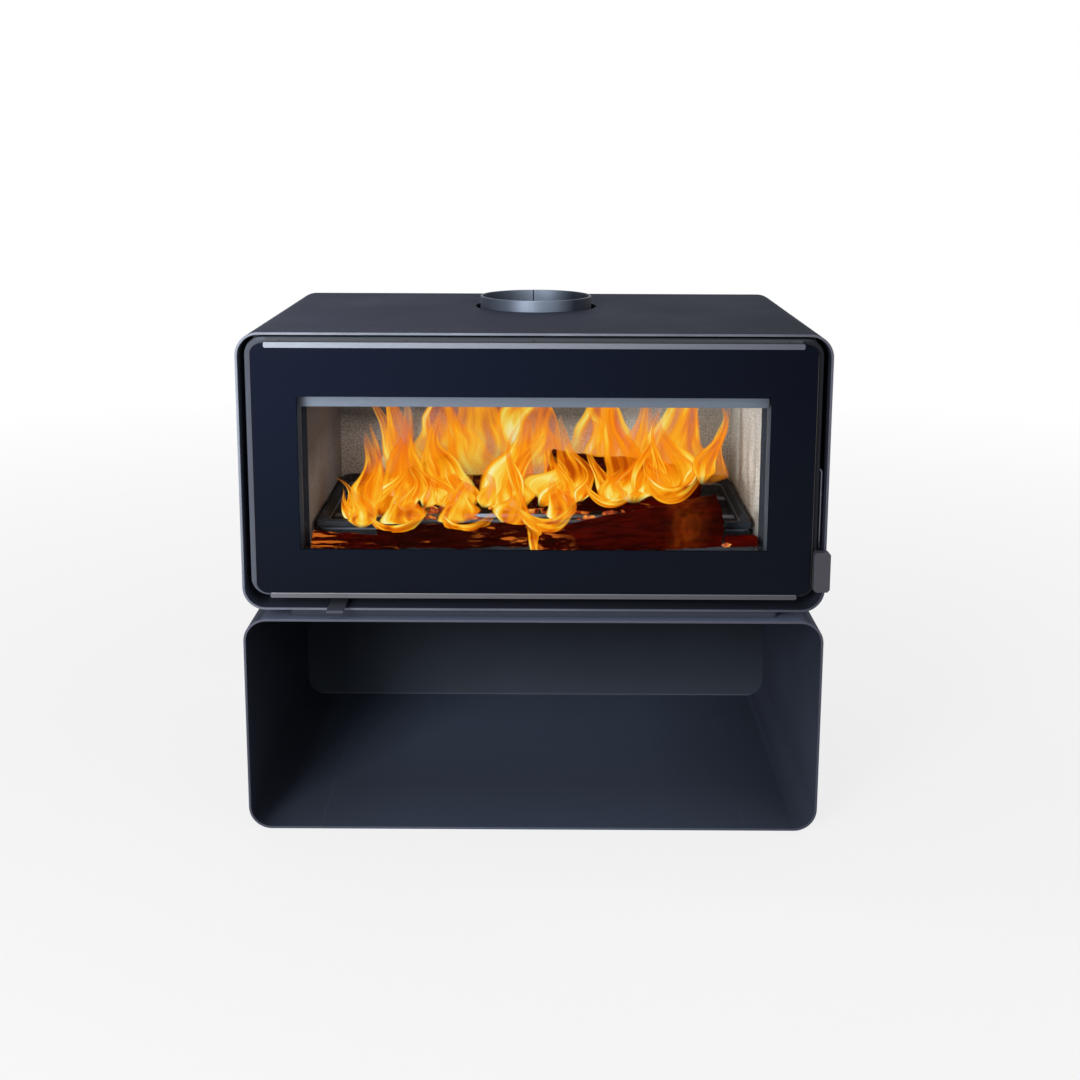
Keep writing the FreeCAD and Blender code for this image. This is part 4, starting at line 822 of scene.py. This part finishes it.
def make_flames(name, tongues, swags, material, seed, copies=2, ends=0.8):
    """A group of flames. Each tongue is x, y, foot height, flame height, width, lean and sway.

    When copies is 2, each tongue has a smaller one just in front of it.
    """
    rng = random.Random(seed)
    bm = bmesh.new()
    uv_layer = bm.loops.layers.uv.new("flame")
    index = seed
    for x, y, z, height, width, lean, sway in tongues:
        for copy in range(copies):
            size, share = ((1.0, 1.0), (0.72, 0.75))[copy]
            at = (x + rng.uniform(-0.4, 0.4) * width * copy, y - 0.006 * copy)
            spine, widths = tongue(*at, z, height * size * rng.uniform(0.92, 1.06), width * share,
                                   lean * size + rng.uniform(-0.008, 0.008), sway * rng.uniform(0.7, 1.2), rng)
            add_sheet(bm, uv_layer, spine, widths, index, rng.uniform(-0.4, 0.4))
            index += 1
    for *points, width in swags:
        spine, widths = swag(points, width, ends)
        add_sheet(bm, uv_layer, spine, widths, index)
        index += 1
    return add_mesh(name, bm, material)


def make_fire():
    """Logs on the tray, coals round them, and four rows of flames with bright folds in the front one."""
    bark = burning_wood("burning_bark", (20, 60, 60), 0.07, red=0.035)
    split = burning_wood("burning_split", (5, 60, 60), 0.0)
    embers = burning_wood("burning_embers", (5, 30, 30), 0.14)
    streaked = burning_wood("burning_streaks", (5, 30, 30), 0.10, long=4.0, red=0.05)
    left_face = [(-0.012, 0.008), (0.0, 0.012), (0.014, 0.006), (0.013, -0.010), (-0.004, -0.013), (-0.016, -0.008)]
    right_face = [(-0.014, 0.011), (0.002, 0.018), (0.018, 0.010), (0.016, -0.009), (-0.002, -0.012), (-0.017, -0.007)]
    make_log("log_front_left", (-0.190, -0.187, 0.3620), (-0.008, -0.186, 0.3630), left_face, right_face, bark, 1)
    chip_a = [(-0.010, 0.004), (0.0, 0.010), (0.011, 0.004), (0.010, -0.007), (-0.002, -0.010), (-0.010, -0.006)]
    make_log("log_split_left", (-0.268, -0.196, 0.3600), (-0.165, -0.196, 0.3530), chip_a, chip_a, streaked, 7)
    low_end = [(-0.016, 0.006), (0.0, 0.012), (0.014, 0.008), (0.016, -0.008), (0.0, -0.014), (-0.018, -0.008)]
    high_end = [(-0.040, 0.006), (-0.022, 0.028), (0.010, 0.032), (0.030, 0.012), (0.024, -0.022), (-0.006, -0.036)]
    glowing = burning_wood("burning_glow", (5, 60, 60), -0.2, glow_x=0.185, red=0.055)
    make_log("log_front_right", (0.016, -0.185, 0.359), (0.226, -0.172, 0.3785), low_end, high_end, glowing, 2)
    crust = [(-0.017, 0.006), (-0.004, 0.014), (0.014, 0.011), (0.018, -0.006), (0.002, -0.014), (-0.018, -0.009)]
    make_log("log_crust", (0.006, -0.188, 0.3585), (0.055, -0.187, 0.3615), crust, crust, embers, 8, 60, 72)
    round_face = [(-0.02, 0.012), (0.0, 0.021), (0.019, 0.013), (0.021, -0.008), (0.004, -0.02), (-0.019, -0.011)]
    make_log("log_back_left", (-0.192, -0.105, 0.3845), (-0.122, 0.004, 0.4040), round_face, round_face, split, 3)
    make_log("log_back_right", (0.215, -0.050, 0.388), (0.020, -0.020, 0.400), high_end, high_end, split, 4)
    make_log("log_middle", (-0.095, -0.050, 0.3865), (0.110, -0.080, 0.3870), round_face, round_face, bark, 5)
    chip_b = [(-0.010, 0.003), (0.0, 0.0065), (0.011, 0.003), (0.010, -0.004), (-0.001, -0.005), (-0.010, -0.004)]
    make_log("log_chip", (0.236, -0.186, 0.3580), (0.271, -0.184, 0.3570), chip_b, chip_b, split, 6, 40, 40)
    coal = glowing_coal("glowing_coal")
    make_coals("coals", 70, (-0.19, -0.13, TRAY_FLOOR + MM), (0.21, 0.02), (0.005, 0.011), coal, 11)
    make_coals("coals_ledge", 3, (0.231, -0.200, LEDGE_TOP + MM), (0.236, -0.196), (0.003, 0.004), coal, 12)
    flame = flame_material("flame")
    veil = flame_material("flame_veil", 0.25)
    back = [
        (-0.172, 0.00, 0.385, 0.18, 0.055, -0.012, 0.010), (-0.135, 0.01, 0.385, 0.18, 0.070, 0.01, 0.010),
        (-0.072, 0.00, 0.385, 0.20, 0.090, -0.01, 0.012), (-0.010, 0.00, 0.385, 0.20, 0.085, 0.02, 0.012),
        (0.066, -0.01, 0.385, 0.20, 0.095, -0.01, 0.012),
        (0.120, -0.01, 0.385, 0.19, 0.060, -0.02, 0.012), (0.175, -0.02, 0.38, 0.20, 0.085, 0.02, 0.012),
        (0.210, -0.03, 0.392, 0.16, 0.060, 0.015, 0.012),
    ]
    middle = [
        (-0.232, -0.12, 0.366, 0.060, 0.020, -0.02, 0.006), (-0.212, -0.11, 0.368, 0.115, 0.050, 0.012, 0.012),
        (-0.165, -0.10, 0.372, 0.155, 0.055, -0.010, 0.010), (-0.105, -0.10, 0.376, 0.135, 0.065, -0.01, 0.012),
        (-0.040, -0.11, 0.378, 0.145, 0.070, 0.01, 0.014), (0.030, -0.11, 0.380, 0.125, 0.075, 0.01, 0.014),
        (0.105, -0.11, 0.388, 0.140, 0.070, 0.015, 0.012), (0.175, -0.10, 0.396, 0.120, 0.060, 0.01, 0.012),
    ]
    front = [
        (-0.212, -0.178, 0.370, 0.060, 0.034, -0.008, 0.005), (-0.152, -0.176, 0.374, 0.052, 0.050, 0.012, 0.006),
        (-0.088, -0.174, 0.376, 0.062, 0.050, 0.010, 0.006), (-0.030, -0.178, 0.372, 0.070, 0.046, -0.006, 0.008),
        (0.030, -0.176, 0.378, 0.060, 0.044, 0.010, 0.008),
        (0.098, -0.160, 0.398, 0.050, 0.036, 0.004, 0.006), (0.150, -0.150, 0.404, 0.055, 0.040, 0.006, 0.006),
    ]
    swags = [
        ((-0.200, -0.19, 0.388), (-0.168, -0.20, 0.354), (-0.128, -0.19, 0.398), 0.014),
        ((-0.112, -0.19, 0.390), (-0.085, -0.20, 0.354), (-0.046, -0.19, 0.396), 0.018),
        ((-0.022, -0.19, 0.402), (0.020, -0.20, 0.356), (0.050, -0.19, 0.408), 0.020),
        ((0.060, -0.18, 0.430), (0.088, -0.19, 0.386), (0.128, -0.18, 0.422), 0.012),
        ((0.138, -0.17, 0.434), (0.165, -0.18, 0.390), (0.208, -0.17, 0.446), 0.022),
    ]
    rng = random.Random(5)
    licks = []
    for step in range(15):
        x = -0.205 + 0.030 * step + rng.uniform(-0.010, 0.010)
        licks.append((x, -0.135, 0.385 + 0.03 * max(0.0, x) / 0.2, rng.uniform(0.055, 0.125), rng.uniform(0.014, 0.026),
                      rng.uniform(-0.02, 0.02), rng.uniform(0.010, 0.016)))
    make_flames("flames_back", back, [], veil, 21)
    make_flames("flames_licks", licks, [], flame, 84, copies=1)
    make_flames("flames_middle", middle, [], flame, 42)
    make_flames("flames_front", front, swags, flame, 63, copies=1)
    column = [((0.001, -0.199, 0.341), (0.003, -0.199, 0.362), (-0.008, -0.197, 0.388), 0.019)]
    make_flames("flame_between", [], column, flame, 105, ends=0.3)


# Floor and world

SEEN_RAYS = ("Is Camera Ray", "Is Glossy Ray", "Is Transmission Ray")


def seen_ray(tree):
    """1 for the rays that show a background, by sight, gloss or glass."""
    path = tree.nodes.new("ShaderNodeLightPath")
    total = path.outputs[SEEN_RAYS[0]]
    for name in SEEN_RAYS[1:]:
        add = tree.nodes.new("ShaderNodeMath")
        add.operation = "ADD"
        add.use_clamp = True
        tree.links.new(total, add.inputs[0])
        tree.links.new(path.outputs[name], add.inputs[1])
        total = add.outputs[0]
    return total


def make_floor():
    """White paper that a background ray sees almost as bright as the world behind it."""
    bpy.ops.mesh.primitive_plane_add(size=60)
    floor = bpy.context.object
    floor.name = "floor"
    s = Shader("floor_paper")
    pulp = s.blend(s.noise(30, 4, 0.6), (0.80, 0.80, 0.80), (0.84, 0.84, 0.84))
    diffuse = s.principled(base_color=pulp, roughness=0.9, specular_ior_level=0.0)
    glow = s.add("ShaderNodeEmission")
    glow.inputs["Color"].default_value = (1, 1, 1, 1)
    glow.inputs["Strength"].default_value = 1.0
    reach = s.add("ShaderNodeVectorMath", operation="LENGTH")
    s.put(reach.inputs[0], s.coord)
    fade = s.remap(reach.outputs["Value"], 0.7, 3.0, 0.80, 1.0)
    share = s.maths("MULTIPLY", seen_ray(s.tree), fade)
    floor.data.materials.append(s.surface(s.mix_shader(share, diffuse.outputs[0], glow.outputs[0])))


def make_world():
    """White where it is seen, dimmer as a light, so the stove keeps its dark sides."""
    world = bpy.data.worlds.new("studio")
    world.use_nodes = True
    bpy.context.scene.world = world
    tree = world.node_tree
    tree.nodes.clear()
    strength = tree.nodes.new("ShaderNodeMapRange")
    strength.inputs["To Min"].default_value = 0.34
    strength.inputs["To Max"].default_value = 1.0
    tree.links.new(seen_ray(tree), strength.inputs["Value"])
    background = tree.nodes.new("ShaderNodeBackground")
    background.inputs["Color"].default_value = (1, 1, 1, 1)
    tree.links.new(strength.outputs["Result"], background.inputs["Strength"])
    output = tree.nodes.new("ShaderNodeOutputWorld")
    tree.links.new(background.outputs[0], output.inputs["Surface"])


def make_lights():
    """Two soft lamps from the left front, two small ones inside the firebox, a fill and a top light."""
    aim = (0, -0.1, 0.4)
    area_light("key", (-1.35, -2.5, 1.1), aim, 1.0, 1.0, 36)
    area_light("low", (-1.0, -2.5, 0.55), aim, 0.8, 0.5, 14)
    area_light("firebox", (-0.10, -0.16, 0.53), (0.28, 0.02, 0.42), 0.06, 0.03, 1.0)
    area_light("firebox_back", (0.03, -0.15, 0.535), (0, 0.12, 0.44), 0.24, 0.02, 0.3)
    area_light("fill", (1.9, -2.1, 1.1), aim, 1.2, 1.2, 6)
    area_light("top", (-0.3, 0.3, 2.4), aim, 1.6, 1.0, 4)


# Build

make_camera()
make_world()
make_lights()
make_floor()
dress_nodes()
make_fire()

bpy.context.scene.view_settings.view_transform = "Standard"
